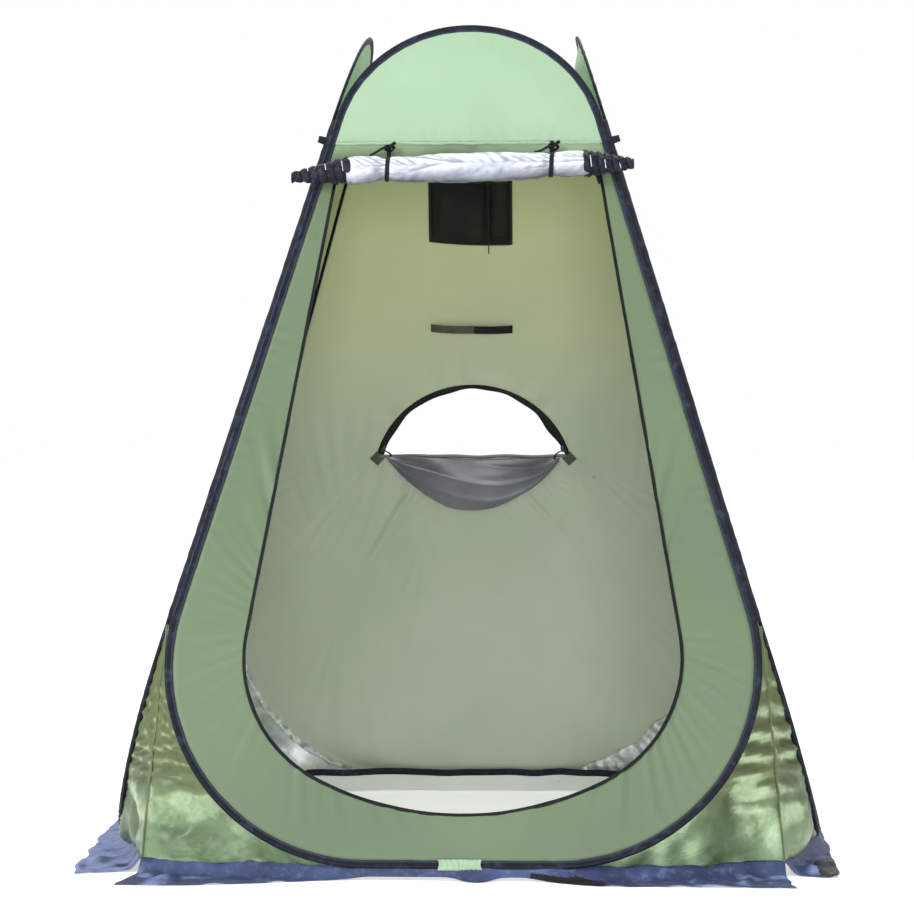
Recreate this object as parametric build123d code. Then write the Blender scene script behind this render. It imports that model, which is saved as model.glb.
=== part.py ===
"""Pop-up privacy tent: four sprung hoops joined at the corners, rolled-up door, window, pocket.

Millimetres, +Z up. The origin is on the ground at the middle of the base and the door faces -Y.
Every panel is drawn flat in its own plane: u runs across it, s runs up its slope from the hoop's
foot, and n points out of the tent. side_place() then stands that plane up on its side.
"""
import os
from math import asin, atan, cos, degrees, radians, sin, tan

from build123d import *

# ---- Driving dimensions ----
HEIGHT = 1900.0            # ground to the top of the arches
BASE = 1610.0              # between opposite hoop planes, at the hoops' feet
TOP = 490.0                # between opposite hoop planes, at the arch tops
HOOP_FOOT = 25.0           # the hoops stand this far up, on the bunched skirt
FOOT_RADIUS = 450.0        # lower corners of a hoop
SEAM = 1665.0              # seam across each panel where the roof is sewn in (up the slope)

BINDING_WIDTH = 18.0
BINDING_THICK = 8.0
EDGE_GAP = 5.0             # from a corner line to the hoops' outer edges
CLOTH = 2.0                # thickness of every cloth solid
WIRE_R = 2.0
WIRE_INSET = 5.0           # wire centre, in from the binding's outer edge
CLOTH_INSET = 9.0          # cloth edge, in from the binding's outer edge
FERRULE_R = 3.2
FERRULE_LENGTH = 60.0

DOOR_TOP = 1618.0
DOOR_TOP_HALF = 298.0
DOOR_SPREAD = 0.162        # the door's edges widen by this much per unit of drop
DOOR_CORNER = 310.0
DOOR_BOTTOM_RADIUS = 680.0
DOOR_SILL = 114.0
ZIP_WIDTH = 8.0
ZIP_THICK = 3.0
DOOR_ZIP_TOP = 1604.0      # the zip ends here, behind the rolled-up door

ROLL_RADIUS = 31.0
ROLL_HALF = 270.0
ROLL_S = 1592.0
ROLL_N = 37.0
ROLL_TILT = -1.5           # degrees; its left end hangs lower
CONE_STEPS = 7
CONE_LENGTH = 122.0
CONE_TIP_R = 11.0
TIE_U = 190.0
TIE_WIDTH = 10.0

FITTINGS_U = 22.0          # the window, pocket and strap sit this far off the back's middle
WINDOW_SILL = 907.0
WINDOW_HALF = 245.0
WINDOW_RISE = 185.0
WINDOW_SLIDER_ANGLE = 21.0  # up the arc from its centre's level
FLAP_HALF = 221.0
FLAP_DROP = 135.0
FLAP_THICK = 12.0
FLAP_N = -14.0             # middle of the hanging flap, inside the tent

POCKET_HALF = 100.0
POCKET_LOW = 1476.0
POCKET_TOP = 1626.0
POCKET_DEEP = 24.0
POCKET_DIVIDER = -44.0
STRAP_S = 1245.0
STRAP_HALF = 102.0
STRAP_HEIGHT = 20.0
STRAP_GAP = 14.0

SKIRT_HALF = 740.0
SKIRT_DEEP = 110.0         # front and back; the sides' flaps are drawn in
SKIRT_DEEP_SIDES = 75.0
SKIRT_HIGH = 22.0
SKIRT_EDGE = 3.0
GUSSET_FOOT = 700.0        # where a corner seam meets the ground, out from the middle in x and y

# ---- Worked out from them ----
LEAN = atan((BASE - TOP) / 2 / (HEIGHT - HOOP_FOOT))
HOOP_LENGTH = (HEIGHT - HOOP_FOOT) / cos(LEAN)
EDGE = atan(tan(LEAN) * cos(LEAN))                  # lean of a panel's edge, in its own plane
FOOT_HALF = BASE / 2 - EDGE_GAP / cos(EDGE)         # outer edge, carried down to s = 0
ARCH_RADIUS = (FOOT_HALF * cos(EDGE) - HOOP_LENGTH * sin(EDGE)) / (1 - sin(EDGE))
FOOT_CENTRE = FOOT_HALF - FOOT_RADIUS * (1 + sin(EDGE)) / cos(EDGE)
WINDOW_RADIUS = (WINDOW_HALF**2 + WINDOW_RISE**2) / (2 * WINDOW_RISE)
WINDOW_CENTRE = WINDOW_SILL + WINDOW_RISE - WINDOW_RADIUS

SIDES = {"front": 0, "right": 90, "back": 180, "left": 270}

FRONT_PLANE = Plane(
    origin=(0, -BASE / 2, HOOP_FOOT),
    x_dir=(1, 0, 0),
    z_dir=(0, -cos(LEAN), sin(LEAN)),
)


def side_place(side, shape):
    """Stand a shape drawn in panel coordinates (u, s, n) up on one side of the tent."""
    return Rot(0, 0, SIDES[side]) * (FRONT_PLANE.location * shape)


def slab(face, low, high):
    """A face drawn at n = 0, made solid from n = low to n = high."""
    return Pos(0, 0, low) * extrude(face, high - low, dir=(0, 0, 1))


def block(u0, u1, s0, s1, n0, n1):
    """A box between two corners in panel coordinates."""
    return Pos((u0 + u1) / 2, (s0 + s1) / 2, (n0 + n1) / 2) * Box(u1 - u0, s1 - s0, n1 - n0)


def save(shape, node):
    export_step(shape, f"parts/{node}.step")


# ---- Hoops ----
def hoop_lines(inset):
    """The hoop's outline, counter-clockwise from the foot, as separate lines and arcs."""
    foot_r = FOOT_RADIUS - inset
    arch_r = ARCH_RADIUS - inset
    lean = degrees(EDGE)
    arch_s = HOOP_LENGTH - ARCH_RADIUS
    right_foot = CenterArc((FOOT_CENTRE, FOOT_RADIUS), foot_r, -90, 90 + lean)
    arch = CenterArc((0, arch_s), arch_r, lean, 180 - 2 * lean)
    left_foot = CenterArc((-FOOT_CENTRE, FOOT_RADIUS), foot_r, 180 - lean, 90 + lean)
    right_edge = Line(right_foot @ 1, arch @ 0)
    left_edge = Line(arch @ 1, left_foot @ 0)
    return [right_foot, right_edge, arch, left_edge, left_foot]


def hoop_face(inset):
    lines = hoop_lines(inset)
    foot = Line(lines[-1] @ 1, lines[0] @ 0)
    return make_face([foot] + lines)


def hoop_wire():
    """The spring wire: one rod bent round, its two ends meeting in the ferrule."""
    lines = hoop_lines(WIRE_INSET)
    gap = 0.5
    first = Line((gap, WIRE_INSET), lines[0] @ 0)
    last = Line(lines[-1] @ 1, (-gap, WIRE_INSET))
    path = Wire([first] + lines + [last])
    section = Plane(origin=path @ 0, z_dir=path % 0) * Circle(WIRE_R)
    return sweep(section, path=path)


def ferrule():
    outside = Cylinder(FERRULE_R, FERRULE_LENGTH)
    tube = outside - Cylinder(WIRE_R, FERRULE_LENGTH)
    return Pos(0, WIRE_INSET, 0) * Rot(0, 90, 0) * tube


def hoop_binding(cloth, wire):
    ring = slab(hoop_face(0) - hoop_face(BINDING_WIDTH), -BINDING_THICK / 2, BINDING_THICK / 2)
    seat = Pos(0, WIRE_INSET, 0) * Rot(0, 90, 0) * Cylinder(FERRULE_R, FERRULE_LENGTH)
    for inner in (cloth, wire, seat):
        ring = ring - inner
    return ring


# ---- Cloth panels ----
def door_outline(grow):
    """The door opening, its edge moved out by grow: straight sides on a rounded, dished sill."""
    side = atan(DOOR_SPREAD)
    corner_r = DOOR_CORNER + grow
    sill_r = DOOR_BOTTOM_RADIUS + grow
    sill_centre = DOOR_SILL + DOOR_BOTTOM_RADIUS
    reach = DOOR_TOP_HALF * cos(side) + DOOR_TOP * sin(side) - DOOR_CORNER
    # The corner's centre lies on the side's parallel and DOOR_BOTTOM_RADIUS - DOOR_CORNER away
    # from the sill's centre.
    a = 1 + tan(side) ** 2
    b = -2 * (reach / cos(side) * tan(side) + sill_centre)
    c = (reach / cos(side)) ** 2 + sill_centre**2 - (DOOR_BOTTOM_RADIUS - DOOR_CORNER) ** 2
    corner_s = (-b - (b * b - 4 * a * c) ** 0.5) / (2 * a)
    corner_u = (reach - corner_s * sin(side)) / cos(side)
    turn = degrees(asin(corner_u / (DOOR_BOTTOM_RADIUS - DOOR_CORNER)))
    lean = degrees(side)
    sill = CenterArc((0, sill_centre), sill_r, -90 - turn, 2 * turn)
    right = CenterArc((corner_u, corner_s), corner_r, -90 + turn, 90 - turn + lean)
    left = CenterArc((-corner_u, corner_s), corner_r, 180 - lean, 90 - turn + lean)
    top_u = DOOR_TOP_HALF + grow / cos(side)
    right_edge = Line(right @ 1, (top_u, DOOR_TOP))
    top = Line((top_u, DOOR_TOP), (-top_u, DOOR_TOP))
    left_edge = Line((-top_u, DOOR_TOP), left @ 0)
    return make_face([sill, right, right_edge, top, left_edge, left])


def window_outline(shrink):
    """The D-shaped window: a straight sill under a round arc."""
    low = WINDOW_SILL + shrink
    radius = WINDOW_RADIUS - shrink
    tilt = asin((low - WINDOW_CENTRE) / radius)
    arc = CenterArc((0, WINDOW_CENTRE), radius, degrees(tilt), 180 - 2 * degrees(tilt))
    return make_face([arc, Line(arc @ 1, arc @ 0)])


def whole_cloth():
    return slab(hoop_face(CLOTH_INSET), -CLOTH / 2, CLOTH / 2)


def lower_panel(side, cloth):
    panel = cloth - block(-BASE, BASE, SEAM, HOOP_LENGTH, -9, 9)
    if side == "front":
        panel = panel - slab(door_outline(0), -9, 9)
    if side == "back":
        panel = panel - Pos(FITTINGS_U, 0, 0) * slab(window_outline(0), -9, 9)
    return panel


def top_panel(cloth):
    return cloth - block(-BASE, BASE, 0, SEAM, -9, 9)


def roof_gore():
    """A quarter of the roof, drawn in the tent's frame for the front side, level with the seam."""
    level = HOOP_FOOT + SEAM * cos(LEAN)
    half = BASE / 2 - SEAM * sin(LEAN) - BINDING_THICK
    split = 1.5
    corners = [(-half + 2 * split, -half), (half - 2 * split, -half), (0, -2 * split)]
    face = make_face(Polyline(*corners, close=True))
    return Pos(0, 0, level - CLOTH) * extrude(face, CLOTH, dir=(0, 0, 1))


def gusset(hand):
    """The slack cloth from a hoop's lower corner to the tent's corner seam, for the front side.

    It is a ruled surface from the hoop's arc to the seam, hand = +1 on the right, -1 on the left.
    """
    arc = CenterArc((FOOT_CENTRE, FOOT_RADIUS), FOOT_RADIUS + 3, -88, 86)
    arc = FRONT_PLANE.location * arc
    level = (arc @ 1).Z
    corner = BASE / 2 - (level - HOOP_FOOT) * tan(LEAN) - 3
    foot = Vector(GUSSET_FOOT - 5, -GUSSET_FOOT, SKIRT_HIGH + CLOTH)
    top = Vector(corner - 5, -corner, level)
    face = Face.make_surface_from_curves(arc.edge(), Edge.make_line(foot, top))
    solid = Solid.thicken(face, CLOTH)
    if hand < 0:
        solid = mirror(solid, about=Plane.YZ)
    return solid


# ---- Skirt, patches and tabs ----
def skirt(deep):
    """The flap that lies on the ground outside the front: bunched at the hoop, thin at its edge."""
    inner = -BASE / 2 + BINDING_THICK / 2 / cos(LEAN)
    outer = -BASE / 2 - deep
    profile = Polyline((inner, 0), (inner, SKIRT_HIGH), (outer, SKIRT_EDGE), (outer, 0), close=True)
    face = Plane.YZ * make_face(profile)
    return Pos(-SKIRT_HALF, 0, 0) * extrude(face, 2 * SKIRT_HALF, dir=(1, 0, 0))


def back_hem():
    """The tape sewn inside the back wall's foot, where the skirt starts."""
    inner = -BINDING_THICK / 2
    return block(-FOOT_CENTRE, FOOT_CENTRE, 8, 24, inner - 2, inner)


def hoop_patch(binding):
    """The cloth patch folded over the front hoop where its wire is joined."""
    outside = block(-44, 44, -1.5, BINDING_WIDTH + 6, -BINDING_THICK / 2 - 1.5, BINDING_THICK / 2 + 1.5)
    inside = block(-50, 50, 0, BINDING_WIDTH + 9, -BINDING_THICK / 2, BINDING_THICK / 2)
    return outside - inside


def hoop_tab(hand):
    """A webbing tab standing out of a side hoop at roof height, on the edge next to the door."""
    edge = FOOT_HALF - SEAM * tan(EDGE) - BINDING_WIDTH / 2
    return block(hand * edge - 7, hand * edge + 7, SEAM - 2, SEAM + 1.5, BINDING_THICK / 2, 24)


# ---- Rolled-up door ----
def along_roll(shape):
    """Place a shape drawn along +Z, centred on the origin, on the roll's axis."""
    return Pos(0, ROLL_S, ROLL_N) * Rot(0, 0, -ROLL_TILT) * Rot(0, 90, 0) * shape


def door_roll():
    return along_roll(Cylinder(ROLL_RADIUS, 2 * ROLL_HALF))


def roll_end(hand):
    """A wound edge-tape cone: the door's bound edges, spiralling down to a point."""
    step = CONE_LENGTH / CONE_STEPS
    shrink = (ROLL_RADIUS - 2 - CONE_TIP_R) / (CONE_STEPS - 1)
    cone = None
    for i in range(CONE_STEPS):
        radius = ROLL_RADIUS - 2 - i * shrink
        turn = Pos(0, 0, hand * (ROLL_HALF + (i + 0.5) * step)) * Cylinder(radius, step)
        cone = turn if cone is None else cone + turn
    return along_roll(cone)


def door_tie(hand):
    """A tie strap round the roll, with its knot at the seam above and its loose tail."""
    band = Cylinder(ROLL_RADIUS + 1.8, TIE_WIDTH) - Cylinder(ROLL_RADIUS + 0.3, TIE_WIDTH)
    band = Pos(0, 0, hand * TIE_U) * band
    u = hand * TIE_U
    rise = u * sin(radians(-ROLL_TILT))
    s = ROLL_S + ROLL_RADIUS + rise
    knot = block(u - 8, u + 8, s + 6, s + 24, 4, 20)
    tail = block(u - 34, u - 7, s + 12, s + 20, 8, 10)
    stem = block(u - TIE_WIDTH / 2, u + TIE_WIDTH / 2, s - 20, s + 7, 7, 20)
    stem = stem - along_roll(Cylinder(ROLL_RADIUS + 0.3, 2 * ROLL_HALF))
    return along_roll(band) + knot + tail + stem


# ---- Zips ----
def door_zip():
    ring = slab(door_outline(0) - door_outline(-ZIP_WIDTH), -ZIP_THICK / 2, ZIP_THICK / 2)
    return ring - block(-BASE, BASE, DOOR_ZIP_TOP, SEAM, -9, 9)


def window_zip():
    ring = slab(window_outline(0) - window_outline(ZIP_WIDTH), -ZIP_THICK / 2, ZIP_THICK / 2)
    return ring - block(-BASE, BASE, WINDOW_SILL - 9, WINDOW_SILL + ZIP_WIDTH + 2, -9, 9)


def slider():
    """A zip slider at the origin. The tape comes from -y with its teeth at y = 0, and runs along x.

    The pull is on the -z side and hangs towards -x.
    """
    body = block(-9, 9, -5, 6, -4.5, 4.5)
    slot = block(-10, 10, -6, 0.6, -ZIP_THICK / 2 - 0.5, ZIP_THICK / 2 + 0.5)
    bail = block(-5, 3, -3, 3, -7, -4.5)
    pull = block(-30, -2, -4, 4, -9, -7)
    return body - slot + bail + pull


def door_slider(hand):
    """At the top of the door's straight edge, its pull outside and hanging down the zip."""
    side = atan(DOOR_SPREAD)
    s = DOOR_ZIP_TOP - 14
    u = DOOR_TOP_HALF + (DOOR_TOP - s) * DOOR_SPREAD - ZIP_WIDTH / cos(side)
    outside = mirror(slider(), about=Plane.XY)
    placed = Pos(u, s, 0) * Rot(0, 0, 90 + degrees(side)) * outside
    return placed if hand > 0 else mirror(placed, about=Plane.YZ)


def window_slider(hand):
    """Near a lower corner of the window, on the arc, its pull on the inside."""
    upright = Pos(WINDOW_RADIUS - ZIP_WIDTH, 0, 0) * Rot(0, 0, 90) * slider()
    placed = Pos(0, WINDOW_CENTRE, 0) * Rot(0, 0, WINDOW_SLIDER_ANGLE) * upright
    return placed if hand > 0 else mirror(placed, about=Plane.YZ)


def window_patch(hand):
    """Reinforcing cloth square at a lower corner of the window."""
    u = hand * (WINDOW_HALF + 4)
    inner = -CLOTH / 2
    return block(u - 14, u + 14, WINDOW_SILL - 24, WINDOW_SILL - 1, inner - 1.2, inner)


def window_flap():
    """The window's cover, dropped inside and hanging below the sill as a folded crescent."""
    top = WINDOW_SILL - 2
    curve = ThreePointArc((-FLAP_HALF, top), (0, top - FLAP_DROP), (FLAP_HALF, top))
    face = make_face([curve, Line(curve @ 1, curve @ 0)])
    return slab(face, FLAP_N - FLAP_THICK / 2, FLAP_N + FLAP_THICK / 2)


# ---- Pocket and strap ----
def pocket_mesh():
    """The net pocket: open at the top, closed at its sides, with a seam that divides it."""
    inner = -CLOTH / 2
    pouch = block(-POCKET_HALF, POCKET_HALF, POCKET_LOW, POCKET_TOP, inner - POCKET_DEEP, inner)
    for u0, u1 in ((-POCKET_HALF + 2, POCKET_DIVIDER - 1), (POCKET_DIVIDER + 1, POCKET_HALF - 2)):
        pouch = pouch - block(u0, u1, POCKET_LOW + 2, POCKET_TOP + 5, inner - POCKET_DEEP + 2, 0)
    return pouch


def pocket_binding():
    """Tape over the pocket's two side edges and along its mouth."""
    outer = -CLOTH / 2 - POCKET_DEEP
    tape = block(-POCKET_HALF, POCKET_HALF, POCKET_LOW, POCKET_TOP, outer - 2, outer)
    return tape - block(-POCKET_HALF + 9, POCKET_HALF - 9, POCKET_LOW - 1, POCKET_TOP - 9, outer - 3, 9)


def towel_strap(hand):
    """Half of the hanging strap: sewn down at its outer end, stood off the wall, lapped in the middle."""
    inner = -CLOTH / 2
    low = STRAP_S - STRAP_HEIGHT / 2
    high = STRAP_S + STRAP_HEIGHT / 2
    ends = sorted((0, hand * STRAP_HALF))
    band = block(ends[0], ends[1], low, high, inner - STRAP_GAP - 2, inner - STRAP_GAP)
    foot = block(hand * STRAP_HALF - 2, hand * STRAP_HALF + 2, low, high, inner - STRAP_GAP - 2, inner)
    return band + foot


# ---- Build ----
def main():
    os.makedirs("parts", exist_ok=True)
    cloth = whole_cloth()
    wire = hoop_wire()
    binding = hoop_binding(cloth, wire)
    for side in SIDES:
        save(side_place(side, wire), f"{side}_wire")
        save(side_place(side, ferrule()), f"{side}_ferrule")
        save(side_place(side, binding), f"{side}_binding")
        save(side_place(side, lower_panel(side, cloth)), f"{side}_panel")
        save(side_place(side, top_panel(cloth)), f"{side}_top_panel")
        turn = Rot(0, 0, SIDES[side])
        save(turn * roof_gore(), f"{side}_roof_gore")
        save(turn * gusset(1), f"{side}_gusset_right")
        save(turn * gusset(-1), f"{side}_gusset_left")
        deep = SKIRT_DEEP if side in ("front", "back") else SKIRT_DEEP_SIDES
        save(turn * skirt(deep), f"{side}_skirt")

    front = {
        "front_hoop_patch": hoop_patch(binding),
        "door_roll": door_roll(),
        "roll_end_left": roll_end(-1),
        "roll_end_right": roll_end(1),
        "door_tie_left": door_tie(-1),
        "door_tie_right": door_tie(1),
        "door_zip": door_zip(),
        "door_slider_left": door_slider(-1),
        "door_slider_right": door_slider(1),
    }
    back = {  # drawn about the window's own middle
        "window_zip": window_zip(),
        "window_slider_left": window_slider(1),
        "window_slider_right": window_slider(-1),
        "window_patch_left": window_patch(1),
        "window_patch_right": window_patch(-1),
        "window_flap": window_flap(),
        "pocket_mesh": pocket_mesh(),
        "pocket_binding": pocket_binding(),
        "towel_strap_left": towel_strap(1),
        "towel_strap_right": towel_strap(-1),
    }
    for node, shape in front.items():
        save(side_place("front", shape), node)
    for node, shape in back.items():
        save(side_place("back", Pos(FITTINGS_U, 0, 0) * shape), node)
    save(side_place("back", back_hem()), "back_hem")
    save(side_place("left", hoop_tab(1)), "hoop_tab_left")
    save(side_place("right", hoop_tab(-1)), "hoop_tab_right")


main()
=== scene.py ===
"""Looks of the pop-up privacy tent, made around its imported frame. Metres, in the frame's own axes.

A wall's cloth is drawn in panel coordinates, as in the design: u across the wall, s up its slope
from the hoop's foot, n out of the tent. place() stands those points up on a side of the tent.
"""
from math import asin, atan, cos, degrees, pi, radians, sin, tan

import bpy
import numpy as np
from mathutils import Euler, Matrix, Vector


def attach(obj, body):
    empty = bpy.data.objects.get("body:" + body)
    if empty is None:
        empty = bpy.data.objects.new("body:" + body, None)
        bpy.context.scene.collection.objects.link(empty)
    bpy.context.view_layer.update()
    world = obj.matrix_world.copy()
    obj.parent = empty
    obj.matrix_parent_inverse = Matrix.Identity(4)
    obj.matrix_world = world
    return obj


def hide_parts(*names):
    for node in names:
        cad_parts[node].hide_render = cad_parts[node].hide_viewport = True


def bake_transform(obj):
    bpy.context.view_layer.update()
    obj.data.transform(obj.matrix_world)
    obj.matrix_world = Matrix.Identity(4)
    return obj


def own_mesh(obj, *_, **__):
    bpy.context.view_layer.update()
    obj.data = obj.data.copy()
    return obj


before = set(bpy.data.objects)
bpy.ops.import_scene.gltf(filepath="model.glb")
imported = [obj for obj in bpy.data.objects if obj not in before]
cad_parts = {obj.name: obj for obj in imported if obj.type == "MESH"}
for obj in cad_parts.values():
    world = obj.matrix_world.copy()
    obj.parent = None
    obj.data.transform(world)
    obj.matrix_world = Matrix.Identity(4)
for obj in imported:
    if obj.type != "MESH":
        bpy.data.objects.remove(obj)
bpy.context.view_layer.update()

# ---- Driving dimensions, as in the design ----
HEIGHT = 1.900
BASE = 1.610
TOP = 0.490
HOOP_FOOT = 0.025
FOOT_RADIUS = 0.450
SEAM = 1.665
BINDING_WIDTH = 0.018
BINDING_THICK = 0.008
EDGE_GAP = 0.005
CLOTH_INSET = 0.012
LAP_INSET = 0.0065

DOOR_TOP = 1.618
DOOR_TOP_HALF = 0.298
DOOR_SPREAD = 0.162
DOOR_CORNER = 0.310
DOOR_BOTTOM_RADIUS = 0.680
DOOR_SILL = 0.114
ZIP_WIDTH = 0.008
DOOR_ZIP_TOP = 1.604

ROLL_RADIUS = 0.031
ROLL_HALF = 0.270
ROLL_S = 1.592
ROLL_N = 0.037
ROLL_TILT = -1.5
CONE_TURNS = 7
CONE_LENGTH = 0.122
CONE_STEP = CONE_LENGTH / CONE_TURNS
CONE_TIP_R = 0.011
TIE_U = 0.190
TIE_WIDTH = 0.010

FITTINGS_U = 0.022
WINDOW_SILL = 0.907
WINDOW_HALF = 0.245
WINDOW_RISE = 0.185
WINDOW_SLIDER_ANGLE = 21
FLAP_HALF = 0.221
FLAP_DROP = 0.135
FLAP_N = -0.014
POCKET_HALF = 0.100
POCKET_LOW = 1.476
POCKET_TOP = 1.626
POCKET_DEEP = 0.024
POCKET_DIVIDER = -0.044
STRAP_S = 1.245
STRAP_HALF = 0.102
STRAP_HEIGHT = 0.020
STRAP_GAP = 0.014

SKIRT_HALF = 0.740
SKIRT_HEM = 0.022
GUSSET_FOOT = 0.700

LEAN = atan((BASE - TOP) / 2 / (HEIGHT - HOOP_FOOT))
HOOP_LENGTH = (HEIGHT - HOOP_FOOT) / cos(LEAN)
EDGE = atan(tan(LEAN) * cos(LEAN))
FOOT_HALF = BASE / 2 - EDGE_GAP / cos(EDGE)
ARCH_RADIUS = (FOOT_HALF * cos(EDGE) - HOOP_LENGTH * sin(EDGE)) / (1 - sin(EDGE))
FOOT_CENTRE = FOOT_HALF - FOOT_RADIUS * (1 + sin(EDGE)) / cos(EDGE)
LEG_LOW = FOOT_RADIUS * (1 + sin(EDGE))              # the hoops' straight legs start here
LEG_HIGH = HOOP_LENGTH - ARCH_RADIUS * (1 - sin(EDGE))
WINDOW_RADIUS = (WINDOW_HALF**2 + WINDOW_RISE**2) / (2 * WINDOW_RISE)
WINDOW_CENTRE = WINDOW_SILL + WINDOW_RISE - WINDOW_RADIUS
SIDES = {"front": 0, "right": 90, "back": 180, "left": 270}
FRONT_NAMES = {-1: "left", 1: "right"}
BACK_NAMES = {1: "left", -1: "right"}                # seen from the door, the back wall's u runs left
FOLDS = {"front": "front_fold", "right": "right_fold", "back": "left_fold", "left": "left_fold"}

# ---- Sizes and counts that only the looks have ----
CLOTH_THICK = 0.0012
THIN_CLOTH = 0.0009
SATIN_THICK = 0.0010
COATING_THICK = 0.0008
TAPE_THICK = 0.0014
ZIP_THICK = 0.0018
STRAP_THICK = 0.0016
FOLDED_TAPE_THICK = 0.0022           # over the pocket's edges
PULL_WIDTH = 0.0062
PULL_THICK = 0.0022
SLIDER_HALF = 0.009
PATCH_HALF = 0.0135
PATCH_TILT = 42
JOIN_PATCH_HALF = 0.046
WIRE_RADIUS = 0.005                  # of the sleeve's fat part, over the spring wire
TOOTH_PITCH = 0.0032
STITCH_PITCH = 0.0042
STITCH_SHARE = 0.68                  # of the pitch is thread
STITCH_HALF = 0.0006
HEM_HALF = 0.47
HEM_LAP = 0.004                      # the skirt starts this far inside the hem
HEM_RISE = 0.010                     # and this far above it
LEFT_HUMP = 0.050                    # how high the left skirt's back half is bunched up
ROLL_LAP = 0.004                     # the roll's cloth runs on into its ends
ROLL_PINCH = 0.0048                  # under a tie
GUSSET_SLACK = 0.030
GUSSET_SWING = 0.040                 # the furthest that its cloth leaves its grid

RIPPLE_WAVES = 14
FACET_WAVES = 4
CORD_POINTS = 10
ZIP_POINTS = 1760
SLEEVE_POINTS = 1060
DOOR_MIDDLE = (0.0, 0.85)            # the front wall's grid radiates from here
WINDOW_MIDDLE = (FITTINGS_U, 0.975)  # and the back wall's from here
FLAP_FALL = 0.72                     # share of the window cover's rows above its turned-up edge
HANG_FRAMES = 12                     # of cloth simulation
WAVE_PERIOD = 0.314                  # of a wave texture at scale 1

CAMERA_AT = (0.28, -7.5, 1.0)
CAMERA_TURN = (pi / 2 - 0.0137, 0.0, 0.0427)
CAMERA_LENS = 123.4
CAMERA_SENSOR = 36.0
FLOOR_HALF = 60.0
WHITE = (1.0, 1.0, 1.0, 1.0)


# ---- Points ----
def turned(points, degrees_about_z):
    t = radians(degrees_about_z)
    x, y, z = points[..., 0], points[..., 1], points[..., 2]
    return np.stack((x * cos(t) - y * sin(t), x * sin(t) + y * cos(t), z), -1)


def place(side, u, s, n):
    """Panel coordinates on a side of the tent, as points of the frame."""
    u, s, n = np.broadcast_arrays(np.asarray(u, float), s, n)
    y = -BASE / 2 + s * sin(LEAN) - n * cos(LEAN)
    z = HOOP_FOOT + s * cos(LEAN) + n * sin(LEAN)
    return turned(np.stack((u, y, z), -1), SIDES[side])


def outward(side):
    """The direction out of a wall."""
    return turned(np.array([0.0, -cos(LEAN), sin(LEAN)]), SIDES[side])


def up_wall(side):
    """The direction up a wall's slope."""
    return place(side, 0.0, 1.0, 0.0) - place(side, 0.0, 0.0, 0.0)


def unit(v):
    """Directions of length 1."""
    return v / np.maximum(np.linalg.norm(v, axis=-1, keepdims=True), 1e-9)


def stacked(*parts):
    """Arrays as one grid of points or of cloth coordinates."""
    return np.stack(np.broadcast_arrays(*parts), -1)


def circle(count):
    return np.linspace(0, 2 * pi, count, endpoint=False)


def squarish(value, power):
    """Bends a sine or cosine so that the section that it draws is nearer to a box with round corners."""
    return np.sign(value) * np.abs(value) ** power


def ripple(seed, x, y, size, turn=0.0, spread=pi):
    """Smooth random relief, about -1 to 1: waves of about the given size, that run along turn."""
    rng = np.random.default_rng(seed)
    total = 0
    for _ in range(RIPPLE_WAVES):
        angle = turn + rng.uniform(-spread, spread)
        count = 2 * pi / size * rng.uniform(0.55, 1.5)
        total = total + np.sin(count * (x * cos(angle) + y * sin(angle)) + rng.uniform(0, 2 * pi))
    return total / RIPPLE_WAVES**0.5


def drift(seed, x, size):
    """ripple() along one line only."""
    return ripple(seed, x, x * 0, size)


def crease(height):
    """Turns smooth relief into cloth folds: sharp crests between round hollows."""
    return 1 - 2 * np.abs(np.tanh(height * 1.3))


def blob(x, centre, width):
    return np.exp(-(((x - centre) / width) ** 2))


def ramp(x, low, high):
    t = np.clip((x - low) / (high - low), 0, 1)
    return t * t * (3 - 2 * t)


def arc(centre, radius, start, end, count):
    a = np.radians(np.linspace(start, end, count))
    return np.stack((centre[0] + radius * np.cos(a), centre[1] + radius * np.sin(a)), -1)


def lengths(points):
    """How far along its line each point is."""
    return np.concatenate(([0], np.cumsum(np.linalg.norm(np.diff(points, axis=0), axis=1))))


def spaced(points, count, close=False):
    """The same line through count points at even distances, and how far along each is."""
    if close:
        points = np.vstack((points, points[:1]))
    far = lengths(points)
    at = np.linspace(0, far[-1], count + 1 if close else count)
    at = at[:-1] if close else at
    return np.stack([np.interp(at, far, points[:, k]) for k in range(points.shape[1])], -1), at


def edge_frame(outline, count):
    """Even points of a closed outline, how far along each is, and the direction inwards there."""
    line, along = spaced(outline, count, close=True)
    ahead = unit(np.roll(line, -1, 0) - np.roll(line, 1, 0))
    return line, along, np.stack((-ahead[:, 1], ahead[:, 0]), -1)


def mirrored(right):
    """A closed outline from its right half, which runs from the bottom to the top."""
    left = right[::-1] * (-1, 1)
    return np.vstack((right, left[1:-1] if right[0][0] == 0 else left))


def hoop_outline(inset):
    """The hoop, counter-clockwise from the middle of its foot."""
    lean = degrees(EDGE)
    foot = arc((FOOT_CENTRE, FOOT_RADIUS), FOOT_RADIUS - inset, -90, lean, 60)
    arch = arc((0, HOOP_LENGTH - ARCH_RADIUS), ARCH_RADIUS - inset, lean, 90, 50)
    return mirrored(np.vstack(([(0, inset)], foot, arch)))


def half_width(s, inset=CLOTH_INSET):
    """Half the hoop's width at height s, inside an inset."""
    line = hoop_outline(inset)
    right = line[: len(line) // 2 + 1]
    return np.interp(s, right[:, 1], right[:, 0])


def wall_outline():
    """The wall's cut below the roof seam. Its edge laps the sleeve on the inside of the tent."""
    line = hoop_outline(LAP_INSET)
    right = line[: len(line) // 2 + 1]
    right = right[right[:, 1] < SEAM]
    return mirrored(np.vstack((right, [(half_width(SEAM, LAP_INSET), SEAM)], [(0, SEAM)])))


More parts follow.
